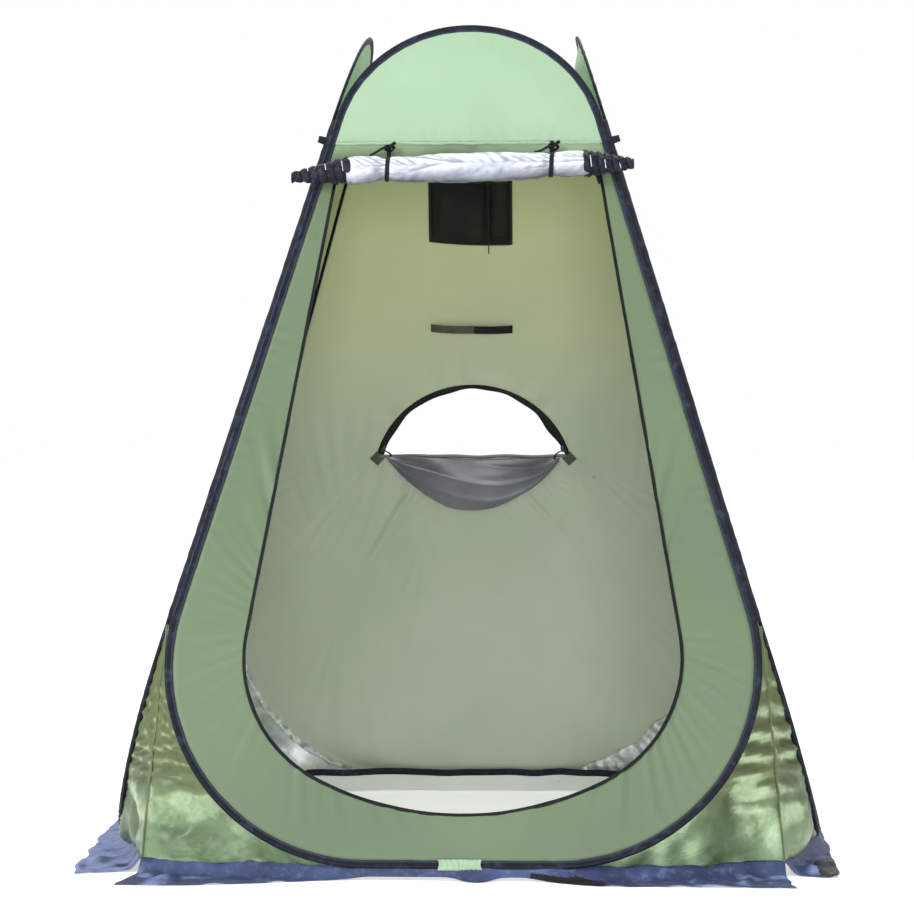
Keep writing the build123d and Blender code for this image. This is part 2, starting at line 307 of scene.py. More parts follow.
def door_outline(grow=0.0):
    """The door opening: straight sides on a round, dished sill."""
    side = atan(DOOR_SPREAD)
    sill_centre = DOOR_SILL + DOOR_BOTTOM_RADIUS
    reach = DOOR_TOP_HALF * cos(side) + DOOR_TOP * sin(side) - DOOR_CORNER
    a = 1 + tan(side) ** 2
    b = -2 * (reach / cos(side) * tan(side) + sill_centre)
    c = (reach / cos(side)) ** 2 + sill_centre**2 - (DOOR_BOTTOM_RADIUS - DOOR_CORNER) ** 2
    corner_s = (-b - (b * b - 4 * a * c) ** 0.5) / (2 * a)
    corner_u = (reach - corner_s * sin(side)) / cos(side)
    turn = degrees(asin(corner_u / (DOOR_BOTTOM_RADIUS - DOOR_CORNER)))
    sill = arc((0, sill_centre), DOOR_BOTTOM_RADIUS + grow, -90, -90 + turn, 40)
    corner = arc((corner_u, corner_s), DOOR_CORNER + grow, -90 + turn, degrees(side), 40)
    top = [(DOOR_TOP_HALF + grow / cos(side), DOOR_TOP), (0, DOOR_TOP)]
    sill[0, 0] = 0
    return mirrored(np.vstack((sill, corner, top)))


def window_outline(shrink=0.0):
    """The D-shaped window: a straight sill under a round arc."""
    low = WINDOW_SILL + shrink
    radius = WINDOW_RADIUS - shrink
    tilt = degrees(asin((low - WINDOW_CENTRE) / radius))
    round_side = arc((0, WINDOW_CENTRE), radius, tilt, 90, 60)
    round_side[-1, 0] = 0
    return mirrored(np.vstack(([(0, low)], round_side)))


def area_of(outline):
    x, y = outline[:, 0], outline[:, 1]
    return abs(np.sum(x * np.roll(y, -1) - y * np.roll(x, -1))) / 2


def nearest(u, s, outline):
    """How far each point is from an outline, and how far along the outline that is."""
    line, along = spaced(outline, 700, close=True)
    flat = np.stack((u.ravel(), s.ravel()), -1)
    best = np.empty(len(flat))
    where = np.empty(len(flat))
    for start in range(0, len(flat), 4000):
        gap = flat[start : start + 4000, None] - line[None]
        d = np.hypot(gap[..., 0], gap[..., 1])
        k = d.argmin(1)
        best[start : start + 4000] = d[np.arange(len(k)), k]
        where[start : start + 4000] = along[k]
    return best.reshape(u.shape), where.reshape(u.shape)


# ---- Meshes ----
def grid_normals(p, wrap_rows, wrap_cols):
    def step(axis, wrap):
        if wrap:
            return np.roll(p, -1, axis) - np.roll(p, 1, axis)
        return np.gradient(p, axis=axis)

    return unit(np.cross(step(1, wrap_cols), step(0, wrap_rows)))


def grid_faces(rows, cols, wrap_rows, wrap_cols):
    i = np.arange(rows if wrap_rows else rows - 1)
    j = np.arange(cols if wrap_cols else cols - 1)
    i, j = np.meshgrid(i, j, indexing="ij")
    k, m = (i + 1) % rows, (j + 1) % cols
    return np.stack((i * cols + j, i * cols + m, k * cols + m, k * cols + j), -1).reshape(-1, 4)


def mesh_object(name, points, faces, uv=None, marks=None):
    """A smooth object. marks gives each face its material, and uv each point its cloth coordinates."""
    mesh = bpy.data.meshes.new(name)
    mesh.from_pydata(np.asarray(points).tolist(), [], [list(f) for f in faces])
    if marks is not None:
        mesh.polygons.foreach_set("material_index", np.asarray(marks, np.int32))
    mesh.polygons.foreach_set("use_smooth", np.ones(len(mesh.polygons), bool))
    if uv is not None:
        corner = np.empty(len(mesh.loops), np.int32)
        mesh.loops.foreach_get("vertex_index", corner)
        layer = mesh.uv_layers.new(name="cloth")
        layer.data.foreach_set("uv", np.asarray(uv, np.float32)[corner].ravel())
    mesh.validate()
    obj = bpy.data.objects.new(name, mesh)
    bpy.context.scene.collection.objects.link(obj)
    return obj


def surface(name, p, wrap_rows=False, wrap_cols=False, uv=None):
    """One closed or open surface through a grid of points, its outside where cols cross rows."""
    rows, cols = p.shape[:2]
    faces = grid_faces(rows, cols, wrap_rows, wrap_cols)
    return mesh_object(name, p.reshape(-1, 3), faces, None if uv is None else uv.reshape(-1, 2))


def shell(name, p, thick, wrap_cols=False, uv=None):
    """A thin closed skin about a grid of points: material 0 outside and on its rims, 1 inside."""
    rows, cols = p.shape[:2]
    normal = grid_normals(p, False, wrap_cols)
    count = rows * cols
    both = np.concatenate((p + normal * thick / 2, p - normal * thick / 2)).reshape(-1, 3)
    out = grid_faces(rows, cols, False, wrap_cols)
    back = out[:, [0, 3, 2, 1]] + count      # both skins split along the same diagonals
    index = np.arange(count).reshape(rows, cols)
    rims = []
    edges = [index[0], index[-1][::-1]]
    if not wrap_cols:
        edges += [index[::-1, 0], index[:, -1]]
    for line in edges:
        a, b = (line, np.roll(line, -1)) if wrap_cols else (line[:-1], line[1:])
        rims.append(np.stack((b, a, a + count, b + count), -1))
    rims = np.concatenate(rims)
    faces = np.concatenate((out, back, rims))
    marks = np.concatenate((np.zeros(len(out)), np.ones(len(back)), np.zeros(len(rims))))
    flat_uv = None if uv is None else np.concatenate((uv.reshape(-1, 2),) * 2)
    return mesh_object(name, both, faces, flat_uv, marks)


def bends(obj, height, rows_step, cols_step, strength, turn=0.6, lit=0.0):
    """Stores how a piece's relief tilts towards the light at each point, 0 to 1, from which the finishes
    paint highlights and shade on its creases. lit tilts the whole piece towards the light, painting it
    lighter.
    """
    slope = np.gradient(height, axis=0) / rows_step + turn * np.gradient(height, axis=1) / cols_step
    tilt = 0.5 + 0.5 * np.tanh(strength * slope + lit)
    layer = obj.data.attributes.new("tilt", "FLOAT", "POINT")
    skins = len(obj.data.vertices) // tilt.size
    layer.data.foreach_set("value", np.tile(tilt.ravel(), skins).astype(np.float32))


def tube(name, path, across, up, profile):
    """A closed section swept along a path. profile is (across, up) for each row of the path."""
    p = path[:, None] + profile[..., :1] * across[:, None] + profile[..., 1:] * up[:, None]
    rows, cols = p.shape[:2]
    faces = [list(f) for f in grid_faces(rows, cols, False, True)]
    points = np.vstack((p.reshape(-1, 3), p[0].mean(0), p[-1].mean(0)))
    first, last = rows * cols, rows * cols + 1
    for j in range(cols):
        k = (j + 1) % cols
        faces.append([first, k, j])
        faces.append([last, (rows - 1) * cols + j, (rows - 1) * cols + k])
    far = lengths(path)
    uv = stacked(far[:, None], np.linspace(0, 1, cols)[None]).reshape(-1, 2)
    return mesh_object(name, points, faces, np.vstack((uv, uv[0], uv[-1])))


def path_frames(path, hint):
    """Two directions across a path, the first as near to hint as it can be."""
    along = unit(np.gradient(path, axis=0))
    hint = np.broadcast_to(hint, path.shape)
    across = unit(hint - (hint * along).sum(1, keepdims=True) * along)
    return across, np.cross(along, across)


def ribbon(name, path, hint, width, thick):
    """Webbing or tape along a path: its flat lies along hint, its edges are round."""
    path = np.asarray(path, float)
    across, up = path_frames(path, np.asarray(hint, float))
    a = circle(16)
    x = squarish(np.cos(a), 0.5) * width / 2
    y = squarish(np.sin(a), 0.6) * thick / 2
    profile = np.broadcast_to(np.stack((x, y), -1), (len(path), 16, 2))
    return tube(name, path, across, up, profile)


def cord(name, path, hint, across, up, fat):
    """A rolled edge of cloth along a path: its section is an ellipse, fatter and thinner by turns."""
    a = circle(CORD_POINTS)
    profile = np.stack((np.cos(a) * across * fat, np.sin(a) * up * fat), -1)
    return tube(name, path, *path_frames(path, hint), profile)


def smooth_path(points, count):
    """A round path through a few points."""
    points = np.asarray(points, float)
    knots = lengths(points)
    slope = np.gradient(points, knots, axis=0)
    at = np.linspace(0, knots[-1], count)
    k = np.clip(np.searchsorted(knots, at, side="right") - 1, 0, len(points) - 2)
    span = (knots[k + 1] - knots[k])[:, None]
    t = (at - knots[k])[:, None] / span
    return (
        points[k] * (2 * t**3 - 3 * t**2 + 1)
        + slope[k] * span * (t**3 - 2 * t**2 + t)
        + points[k + 1] * (3 * t**2 - 2 * t**3)
        + slope[k + 1] * span * (t**3 - t**2)
    )


def join(name, objects):
    """One object of several."""
    for o in bpy.context.selected_objects:
        o.select_set(False)
    for o in objects:
        o.select_set(True)
    bpy.context.view_layer.objects.active = objects[0]
    bpy.ops.object.join()
    objects[0].name = name
    objects[0].data.name = name
    objects[0].select_set(False)
    return objects[0]


# ---- Materials ----
def srgb(r, g, b):
    """A colour given as on a screen, 0 to 255."""
    linear = []
    for c in (r / 255, g / 255, b / 255):
        linear.append(c / 12.92 if c <= 0.04045 else ((c + 0.055) / 1.055) ** 2.4)
    return (*linear, 1.0)


def dimmed(colour, share):
    return tuple(c * share for c in colour[:3]) + (1.0,)


class Graph:
    """Builds a material's nodes: a socket is given as a value or as another node's output."""

    def __init__(self, name):
        self.material = bpy.data.materials.new(name)
        self.material.use_nodes = True
        self.tree = self.material.node_tree
        self.tree.nodes.clear()
        self.out = self.tree.nodes.new("ShaderNodeOutputMaterial")

    def add(self, kind, inputs, **settings):
        node = self.tree.nodes.new("ShaderNode" + kind)
        for key, value in settings.items():
            setattr(node, key, value)
        for key, value in inputs.items():
            if isinstance(value, bpy.types.NodeSocket):
                self.tree.links.new(value, node.inputs[key])
            else:
                node.inputs[key].default_value = value
        return node

    def math(self, operation, a, b=0.0):
        return self.add("Math", {0: a, 1: b}, operation=operation).outputs[0]

    def times(self, a, b):
        return self.math("MULTIPLY", a, b)

    def plus(self, a, b):
        return self.math("ADD", a, b)

    def mix(self, share, a, b):
        return self.add("Mix", {0: share, 6: a, 7: b}, data_type="RGBA").outputs[2]

    def noise(self, where, scale, detail=3.0, rough=0.5):
        inputs = {"Vector": where, "Scale": scale, "Detail": detail, "Roughness": rough}
        return self.add("TexNoise", inputs).outputs[0]

    def span(self, value, a, b, low, high):
        return self.add("MapRange", {0: value, 1: a, 2: b, 3: low, 4: high}).outputs[0]

    def finish(self, shader):
        self.tree.links.new(shader, self.out.inputs["Surface"])
        return self.material


def cloth(
    name,
    colour,
    deep,
    rough=0.5,
    sheen=0.15,
    weave=0.0011,
    crinkle=0.25,
    crinkle_scale=55.0,
    glow=None,
    high=None,
    patches=2.2,
    stitches=(),
    stitch_colour=(40, 44, 56),
    coat=0.0,
    metallic=0.0,
    wear=None,
    specular=0.45,
    satin=None,
    shade=None,
):
    """Woven cloth, of colour and in patches of deep. Colours are as srgb() takes them. high = (colour, from,
    to) is its colour towards the top of the tent: painted light on some cloths, painted shade on others.
    glow = (colour, share) is that of light through it. stitches are the rows' distances across the piece, in
    its cloth coordinates. wear is the colour of rubbed threads. satin = (light, dark, share)
    paints highlights and shade on the sides of its creases, from the tilt towards the light that bends()
    stores. shade = (row, reach, colour) paints shade on one side of a roll."""
    g = Graph(name)
    where = g.add("TexCoord", {}).outputs["Object"]
    flat = g.add("UVMap", {}, uv_map="cloth").outputs["UV"]
    cloud = g.noise(where, patches, 4.0, 0.55)
    tone = g.span(cloud, 0.32, 0.68, 0.0, 1.0)
    paint = g.mix(tone, srgb(*deep), srgb(*colour))
    # Painted light (or, for a darker colour, painted shade) towards the top of the tent, by height
    if high:
        z = g.add("SeparateXYZ", {"Vector": where}).outputs["Z"]
        lift = g.span(g.plus(z, g.times(cloud, 0.35)), high[1], high[2], 0.0, 1.0)
        paint = g.mix(lift, paint, srgb(*high[0]))
    fine = g.noise(where, 420.0, 2.0)
    paint = g.mix(g.span(fine, 0.3, 0.7, 0.0, 0.10), paint, dimmed(srgb(*deep), 0.72))
    bands = {"Vector": flat, "Scale": WAVE_PERIOD / weave, "Distortion": 0.0}
    warp = g.add("TexWave", bands, bands_direction="X").outputs[1]
    weft = g.add("TexWave", bands, bands_direction="Y").outputs[1]
    threads = g.times(warp, weft)
    folds = g.noise(where, crinkle_scale, 5.0, 0.6)
    height = g.plus(g.times(threads, 0.00006), g.times(folds, crinkle * 0.001))
    if wear:
        rub = g.span(g.noise(where, 38.0, 6.0, 0.7), 0.52, 0.70, 0.0, 0.75)
        paint = g.mix(rub, paint, srgb(*wear))
    # Painted highlights and shade on the sides of creases, from how each point tilts towards the light
    if satin:
        tilt = g.add("Attribute", {}, attribute_name="tilt").outputs["Fac"]
        tilt = g.plus(tilt, g.span(g.noise(where, 60.0, 4.0, 0.6), 0.3, 0.7, -0.12, 0.12))
        paint = g.mix(g.span(tilt, 0.54, 0.98, 0.0, satin[2]), paint, srgb(*satin[0]))
        paint = g.mix(g.span(tilt, 0.02, 0.46, satin[2], 0.0), paint, srgb(*satin[1]))
    # Painted shade along one side of a roll
    if shade:
        across = g.add("SeparateXYZ", {"Vector": flat}).outputs["Y"]
        off = g.math("ABSOLUTE", g.math("SUBTRACT", across, shade[0]))
        off = g.plus(off, g.times(g.noise(where, 11.0, 5.0, 0.6), shade[1]))
        paint = g.mix(g.span(off, shade[1] * 0.55, shade[1] * 1.45, 1.0, 0.0), paint, srgb(*shade[2]))
    if stitches:
        parts = g.add("SeparateXYZ", {"Vector": flat}).outputs
        pitch = g.math("FRACT", g.times(parts["X"], 1 / STITCH_PITCH))
        dash = g.math("LESS_THAN", pitch, STITCH_SHARE)
        rows = None
        for row in stitches:
            gap = g.math("ABSOLUTE", g.math("SUBTRACT", parts["Y"], row))
            line = g.math("LESS_THAN", gap, STITCH_HALF)
            rows = line if rows is None else g.math("MAXIMUM", rows, line)
        thread = g.times(rows, dash)
        paint = g.mix(thread, paint, srgb(*stitch_colour))
        height = g.plus(height, g.times(rows, -0.0003))
        height = g.plus(height, g.times(thread, 0.0004))
    bump = g.add("Bump", {"Height": height, "Distance": 1.0, "Strength": 0.8}).outputs["Normal"]
    shine = g.span(g.noise(where, 9.0, 4.0), 0.3, 0.7, rough - 0.07, rough + 0.07)
    main = g.add(
        "BsdfPrincipled",
        {
            "Base Color": paint,
            "Roughness": shine,
            "Metallic": metallic,
            "Normal": bump,
            "Sheen Weight": sheen,
            "Sheen Roughness": 0.4,
            "Specular IOR Level": specular,
            "Coat Weight": coat,
            "Coat Roughness": 0.25,
        },
    ).outputs[0]
    if glow:
        through = g.add("BsdfTranslucent", {"Color": srgb(*glow[0]), "Normal": bump}).outputs[0]
        main = g.add("MixShader", {0: glow[1], 1: main, 2: through}).outputs[0]
    return g.finish(main)


def metal(name, colour, rough):
    """Drawn or cast metal with fine brushing and rubbed patches."""
    colour = srgb(*colour)
    g = Graph(name)
    where = g.add("TexCoord", {}).outputs["Object"]
    marks = g.noise(where, 90.0, 6.0, 0.65)
    tint = g.mix(g.span(marks, 0.4, 0.7, 0.0, 0.6), colour, dimmed(colour, 0.6))
    grain = g.noise(where, 900.0, 3.0)
    bump = g.add("Bump", {"Height": grain, "Distance": 0.0001, "Strength": 0.4}).outputs["Normal"]
    shine = g.span(marks, 0.3, 0.7, rough - 0.08, rough + 0.12)
    inputs = {"Base Color": tint, "Metallic": 1.0, "Roughness": shine, "Normal": bump}
    return g.finish(g.add("BsdfPrincipled", inputs).outputs[0])


def net(name):
    """Dark mesh cloth: close holes, seen through a little."""
    g = Graph(name)
    where = g.add("TexCoord", {}).outputs["Object"]
    flat = g.add("UVMap", {}, uv_map="cloth").outputs["UV"]
    cells = g.add("TexVoronoi", {"Vector": flat, "Scale": 520.0}, feature="DISTANCE_TO_EDGE").outputs[0]
    threads = g.span(cells, 0.05, 0.25, 1.0, 0.0)
    cloud = g.noise(where, 14.0, 4.0)
    paint = g.mix(g.span(cloud, 0.3, 0.7, 0.0, 1.0), srgb(12, 12, 12), srgb(28, 30, 23))
    solid = g.plus(g.times(threads, 0.16), 0.78)
    bump = g.add("Bump", {"Height": threads, "Distance": 0.0002, "Strength": 0.6}).outputs["Normal"]
    inputs = {"Base Color": paint, "Roughness": 0.7, "Alpha": solid, "Normal": bump}
    inputs["Specular IOR Level"] = 0.2
    return g.finish(g.add("BsdfPrincipled", inputs).outputs[0])


def make_materials():
    """Every finish by name."""
    made = {}
    made["wall"] = cloth(
        "wall_cloth", (98, 116, 88), (91, 108, 82), glow=((150, 175, 120), 0.16),
        # high: painted light on the band below the roof seam, where the roll and sleeves cast shade
        high=((140, 166, 132), 1.775, 1.835),
        stitches=(0.006,), stitch_colour=(92, 108, 84),
    )
    made["lining"] = cloth(
        "lining_coat", (182, 191, 176), (165, 175, 157), rough=0.42, sheen=0.05,
        # high: painted light, the coat turning yellower towards the top of the tent
        high=((186, 194, 142), 1.05, 1.70), glow=((190, 200, 140), 0.20), patches=1.6,
    )
    # A yellower, brighter copy of the lining coat: painted light on the left wall's inside
    made["lining_left_painted_light"] = cloth(
        "lining_coat_left_painted_light", (196, 206, 146), (178, 188, 130), rough=0.45,
        glow=((180, 195, 110), 0.30),
    )
    # The wall's cloth painted much lighter: painted light on this single layer high on the tent
    made["peak"] = cloth(
        "peak_cloth", (166, 192, 165), (156, 183, 155), rough=0.42, sheen=0.2,
        glow=((190, 225, 186), 0.30), crinkle=0.3, stitches=(0.004,), stitch_colour=(130, 156, 128),
    )
    made["roof"] = cloth(
        "roof_cloth", (178, 205, 172), (160, 190, 152), rough=0.42,
        glow=((200, 232, 180), 0.45), crinkle=0.4,
    )
    made["gusset"] = cloth(
        "gusset_satin", (126, 151, 117), (98, 119, 82), rough=0.34, sheen=0.02, crinkle=0.5,
        crinkle_scale=45.0, glow=((140, 160, 90), 0.10), coat=0.03, patches=7.0, specular=0.35,
        # high paints shade, darker olive, on its upper part; the crease colours are painted highlights and
        # shade
        high=((86, 96, 60), 0.27, 0.40), satin=((196, 220, 178), (50, 60, 34), 0.62),
    )
    made["gusset_seam"] = cloth("gusset_seam", (92, 106, 66), (66, 77, 46), rough=0.5, patches=20.0)
    made["silver"] = cloth(
        "silver_coat", (196, 203, 206), (160, 168, 160), rough=0.33, sheen=0.1, crinkle=0.5,
        # The crease colours are painted highlights and shade on its crumples
        crinkle_scale=30.0, metallic=0.2, patches=9.0, satin=((236, 240, 246), (112, 120, 130), 0.6),
    )
    made["facing"] = cloth(
        "hem_facing", (232, 236, 232), (216, 221, 216), rough=0.5, sheen=0.05, crinkle=0.4,
        crinkle_scale=30.0, glow=((240, 244, 240), 0.3),
    )
    # A darker copy of the silver coat: painted shade on the cover under the sill
    made["flap"] = cloth(
        "flap_silver", (106, 108, 112), (74, 77, 84), rough=0.36, crinkle=0.5,
        crinkle_scale=30.0, metallic=0.2, patches=7.0,
    )
    made["roll"] = cloth(
        "roll_silver", (192, 196, 205), (164, 170, 186), rough=0.36, sheen=0.1, crinkle=0.35,
        crinkle_scale=60.0, metallic=0.1, coat=0.1, patches=14.0,
        # Painted shade along the roll's underside, and painted highlights and shade on its folds
        shade=(1.5 * pi * ROLL_RADIUS, 0.040, (74, 78, 88)),
        satin=((226, 229, 236), (84, 88, 98), 0.6),
    )
    made["binding"] = cloth(
        "binding_tape", (20, 24, 36), (10, 12, 20), rough=0.55, sheen=0.03, weave=0.0016,
        crinkle=0.5, crinkle_scale=120.0, patches=30.0, stitches=(0.0145, 0.0163),
        stitch_colour=(56, 64, 88), wear=(48, 55, 78), specular=0.16,
    )
    made["tape"] = cloth(
        "edge_tape", (22, 25, 40), (10, 11, 20), rough=0.5, sheen=0.03, weave=0.0014,
        crinkle=0.4, crinkle_scale=150.0, patches=40.0, wear=(44, 48, 72), specular=0.2,
    )
    made["webbing"] = cloth(
        "webbing_black", (18, 19, 26), (9, 9, 14), rough=0.6, sheen=0.03, weave=0.0018,
        crinkle=0.3, patches=30.0, wear=(38, 40, 52), specular=0.16,
    )
    made["olive"] = cloth(
        "strap_olive", (58, 66, 46), (42, 50, 35), rough=0.65, sheen=0.05, weave=0.0018, patches=40.0,
    )
    made["skirt"] = cloth(
        "skirt_nylon", (70, 80, 117), (48, 56, 84), rough=0.55, sheen=0.0, crinkle=0.6,
        crinkle_scale=35.0, patches=9.0, wear=(96, 108, 150), specular=0.14,
        # The crease colours are painted highlights and shade on its crumples
        satin=((140, 153, 200), (40, 46, 72), 0.6),
    )
    made["skirt_under"] = cloth(
        "skirt_underside", (26, 24, 27), (15, 14, 17), rough=0.5, specular=0.2, sheen=0.02,
        crinkle=0.5, patches=8.0,
    )
    made["zip"] = cloth(
        "zip_tape", (16, 18, 24), (8, 9, 13), rough=0.5, sheen=0.02, weave=0.0012, patches=40.0,
        specular=0.16,
    )
    made["net"] = net("pocket_net")
    made["steel"] = metal("spring_steel", (176, 178, 184), 0.32)
    made["zinc"] = metal("ferrule_zinc", (196, 196, 198), 0.28)
    made["slider"] = cloth("slider_paint", (30, 31, 34), (18, 18, 21), rough=0.3, sheen=0.0,
                           weave=0.01, crinkle=0.1, patches=60.0, coat=0.4, wear=(70, 70, 74))
    return made


MATERIALS = make_materials()


def dress(obj, finishes, body, replaced=(), ride=True):
    """Gives a piece its finishes, hides the nodes that it stands for, and hangs it on its body unless ride is
    off.
    """
    for name in finishes:
        obj.data.materials.append(MATERIALS[name])
    if replaced:
        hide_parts(*replaced)
    if ride:
        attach(obj, body)
    return obj


# ---- Hoops: sleeve, wire and corner tapes ----
def hoop_sleeve(side, seed):
    """The binding sewn round the spring wire: fat over the wire, puckered, thin at its stitched edge."""
    line, along, inward = edge_frame(hoop_outline(0), SLEEVE_POINTS)
    a = circle(18)
    reach = (1 - np.cos(a)) / 2 * BINDING_WIDTH
    fat = np.where(
        reach < WIRE_RADIUS,
        np.sqrt(np.maximum(0, 1 - ((reach - WIRE_RADIUS) / WIRE_RADIUS) ** 2)),
        1 - 0.66 * ramp(reach, WIRE_RADIUS, 0.012),
    )
    high = squarish(np.sin(a), 0.45) * fat * BINDING_THICK / 2
    lump = ripple(seed, along[:, None], reach[None], 0.030, 0.5, 0.4)
    lump = lump + 0.6 * ripple(seed + 1, along[:, None], reach[None], 0.014, -0.6, 0.5)
    puckered = 0.55 + 0.45 * drift(seed + 2, along, 0.5)
    foot = 0.85 * (1 - ramp(line[:, 1], 0.30, 0.60)) * (side in ("left", "right"))
    n = high[None] * (1 + foot[:, None] + 0.09 * lump * puckered[:, None])
    ease = 0.0004 * ripple(seed + 3, along[:, None], reach[None] * 0, 0.06)
    inside = reach[None] + ease * ramp(reach, 0.009, 0.018)[None]
    u = line[:, :1] + inward[:, :1] * inside
    s = line[:, 1:] + inward[:, 1:] * inside
    p = place(side, u, s, n)
    uv = stacked(along[:, None], reach[None])
    obj = surface(f"{side}_hoop_sleeve", p[:, ::-1], True, True, uv[:, ::-1])
    return dress(obj, ["binding"], side, [f"{side}_binding"])


def corner_line(a, b, s, out, n):
    """Points of the two walls' edges and of the corner between them, from wall a's right to wall b's left."""
    half = half_width(s, 0.0)
    first = place(a, half - 0.006, s, n)
    last = place(b, -half + 0.006, s, n)
    away = unit((first + last) * (1, 1, 0))
    return first, (first + last) / 2 + away * out, last


def corner_tape(a, b, name, share=(0.0, 1.0)):
    """The tape that joins two hoops down their straight legs. share keeps part of its width."""
    s = np.arange(LEG_LOW - 0.03, LEG_HIGH, 0.007)
    first, middle, last = corner_line(a, b, s, 0.0045, 0.0038)
    t = np.linspace(*share, 9)[None, :, None]
    p = first[:, None] * (1 - t) ** 2 + 2 * middle[:, None] * t * (1 - t) + last[:, None] * t**2
    wave = 0.0007 * ripple(len(name) + 3, s[:, None], t[0, :, 0][None] * 0.02, 0.035)
    p = p + wave[..., None] * unit(middle)[:, None]
    uv = stacked(s[:, None], t[0, :, 0][None] * 0.017)
    return shell(name, p, TAPE_THICK, uv=uv)


def corner_tapes():
    """Three corners bend at a hinge; their tapes stay where they are made and ride no body. The fourth is the
    opened pivot, so each hoop keeps half its tape.
    """
    for a, b in (("left", "front"), ("back", "left"), ("right", "back")):
        tape = corner_tape(a, b, f"{a}_{b}_corner_tape")
        dress(tape, ["binding", "binding"], a, ride=False)
        first, _, last = corner_line(a, b, np.array([1.1]), 0.0, 0.0)
        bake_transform(tape)
    for body, share in (("front", (0.0, 0.5)), ("right", (0.5, 1.0))):
        tape = corner_tape("front", "right", f"{body}_half_corner_tape", share)
        dress(tape, ["binding", "binding"], body)


# ---- Walls ----
def fan(u, s, centre, seed, low, high, size):
    """Soft folds that radiate from a point, between two distances from it."""
    du, ds = u - centre[0], s - centre[1]
    far = np.hypot(du, ds)
    angle = np.arctan2(ds, du)
    body = ramp(far, low * 0.6, low) * (1 - ramp(far, high * 0.7, high))
    return ripple(seed, angle * (low + high) / 2, far * 0.12, size, 0.0, 0.25) * body


def wall_relief(side, u, s):
    """How far a wall's cloth stands out of its plane."""
    edge, along = nearest(u, s, hoop_outline(LAP_INSET))
    lap = -0.0044 * (1 - ramp(edge, 0.008, 0.018))
    edge = np.maximum(edge - CLOTH_INSET + LAP_INSET, 0)
    free = 1 - np.exp(-((edge / 0.07) ** 2))
    seed = 40 + SIDES[side]
    slack = {"front": -0.002, "right": -0.007, "back": 0.004, "left": -0.006}[side]
    n = lap + slack * free * (1 - ramp(np.abs(s - 0.8), 0.3, 0.9))
    n = n + 0.0010 * free * ripple(seed, u, s, 0.34)
    diagonal = ripple(seed + 1, u, s, 0.11, 0.9, 0.35) * ramp(ripple(seed + 2, u, s, 0.5), -0.2, 0.9)
    n = n + 0.0009 * free * diagonal
    for hand in (-1, 1):
        n = n + 0.0016 * free * fan(u, s, (hand * 0.36, 0.52), seed + 5 + hand, 0.16, 0.62, 0.05)
    pucker = ripple(seed + 8, along, edge * 0.4, 0.035, 0.0, 0.4)
    n = n + 0.0011 * pucker * np.exp(-edge / 0.025) * ramp(edge, 0.007, 0.018)
    hem = crease(ripple(seed + 9, u * 0.6 + s * 0.4, s * 1.6, 0.075, 0.9, 0.5)) * blob(s, SEAM - 0.028, 0.030)
    return n + 0.0022 * hem * free * (1 - blob(s, SEAM, 0.006))


def fitting_relief(u, s):
    """The back wall's cloth, with the folds that its window pulls into it."""
    edge, along = nearest(u - FITTINGS_U, s, window_outline())
    n = wall_relief("back", u, s) * ramp(edge, 0.0, 0.05)
    pull = ripple(91, along, edge * 0.3, 0.075, 0.0, 0.3)
    n = n + 0.0022 * pull * np.exp(-edge / 0.09) * ramp(edge, 0.0, 0.02)
    for hand in (-1, 1):
        drop = fan(u - FITTINGS_U, s, (hand * 0.21, 0.96), 95 + hand, 0.06, 0.42, 0.022)
        n = n + 0.0014 * drop * ramp(0.93 - s, 0.0, 0.06)
    return n


def ring(outer, inner, centre, around, across):
    """Grid points between two outlines on rays from a point, from the outer one inwards."""
    polar = []
    for line in (outer, inner):
        dense, _ = spaced(line, 2400, close=True)
        d = dense - centre
        angle = np.arctan2(d[:, 1], d[:, 0])
        order = angle.argsort()
        polar.append((angle[order], np.hypot(d[:, 0], d[:, 1])[order]))
    rays = np.linspace(-pi, pi, around, endpoint=False)
    far = [np.interp(rays, a, r, period=2 * pi) for a, r in polar]
    t = np.linspace(0, 1, across)
    t = t - 0.10 * np.sin(2 * pi * t)
    r = far[0][None] * (1 - t[:, None]) + far[1][None] * t[:, None]
    return centre[0] + r * np.cos(rays)[None], centre[1] + r * np.sin(rays)[None]


def wall(side):
    cut = wall_outline()
    relief = lambda u, s: wall_relief(side, u, s)
    area = area_of(cut)
    if side == "front":
        u, s = ring(cut, door_outline(0.001), np.array(DOOR_MIDDLE), 620, 30)
        area -= area_of(door_outline())
    elif side == "back":
        shift = np.array([FITTINGS_U, 0.0])
        u, s = ring(cut, window_outline(-0.001) + shift, np.array(WINDOW_MIDDLE), 520, 64)
        area -= area_of(window_outline())
        relief = fitting_relief
    else:
        t = np.linspace(0, 1, 150)
        s = (LAP_INSET + (SEAM - LAP_INSET) * t**1.25)[:, None]
        widest = pi / 2 * 0.86
        across = np.sin(np.linspace(-1, 1, 120) * widest)[None]
        u, s = np.broadcast_arrays(half_width(s, LAP_INSET) * across / sin(widest), s)
    p = place(side, u, s, relief(u, s))
    whole = side in ("front", "back")
    obj = shell(f"{side}_wall", p, CLOTH_THICK, wrap_cols=whole, uv=np.stack((u, SEAM - s), -1))
    # the left wall's inside takes the copy of the lining with painted light
    inside = "lining_left_painted_light" if side == "left" else "lining"
    dress(obj, ["wall", inside], side, [f"{side}_panel"])
    size = (2 * cut[:, 0].max(), SEAM - LAP_INSET)
    area = max(area, 0.301 * size[0] * size[1])     # the front, most of which is its door opening
    return obj


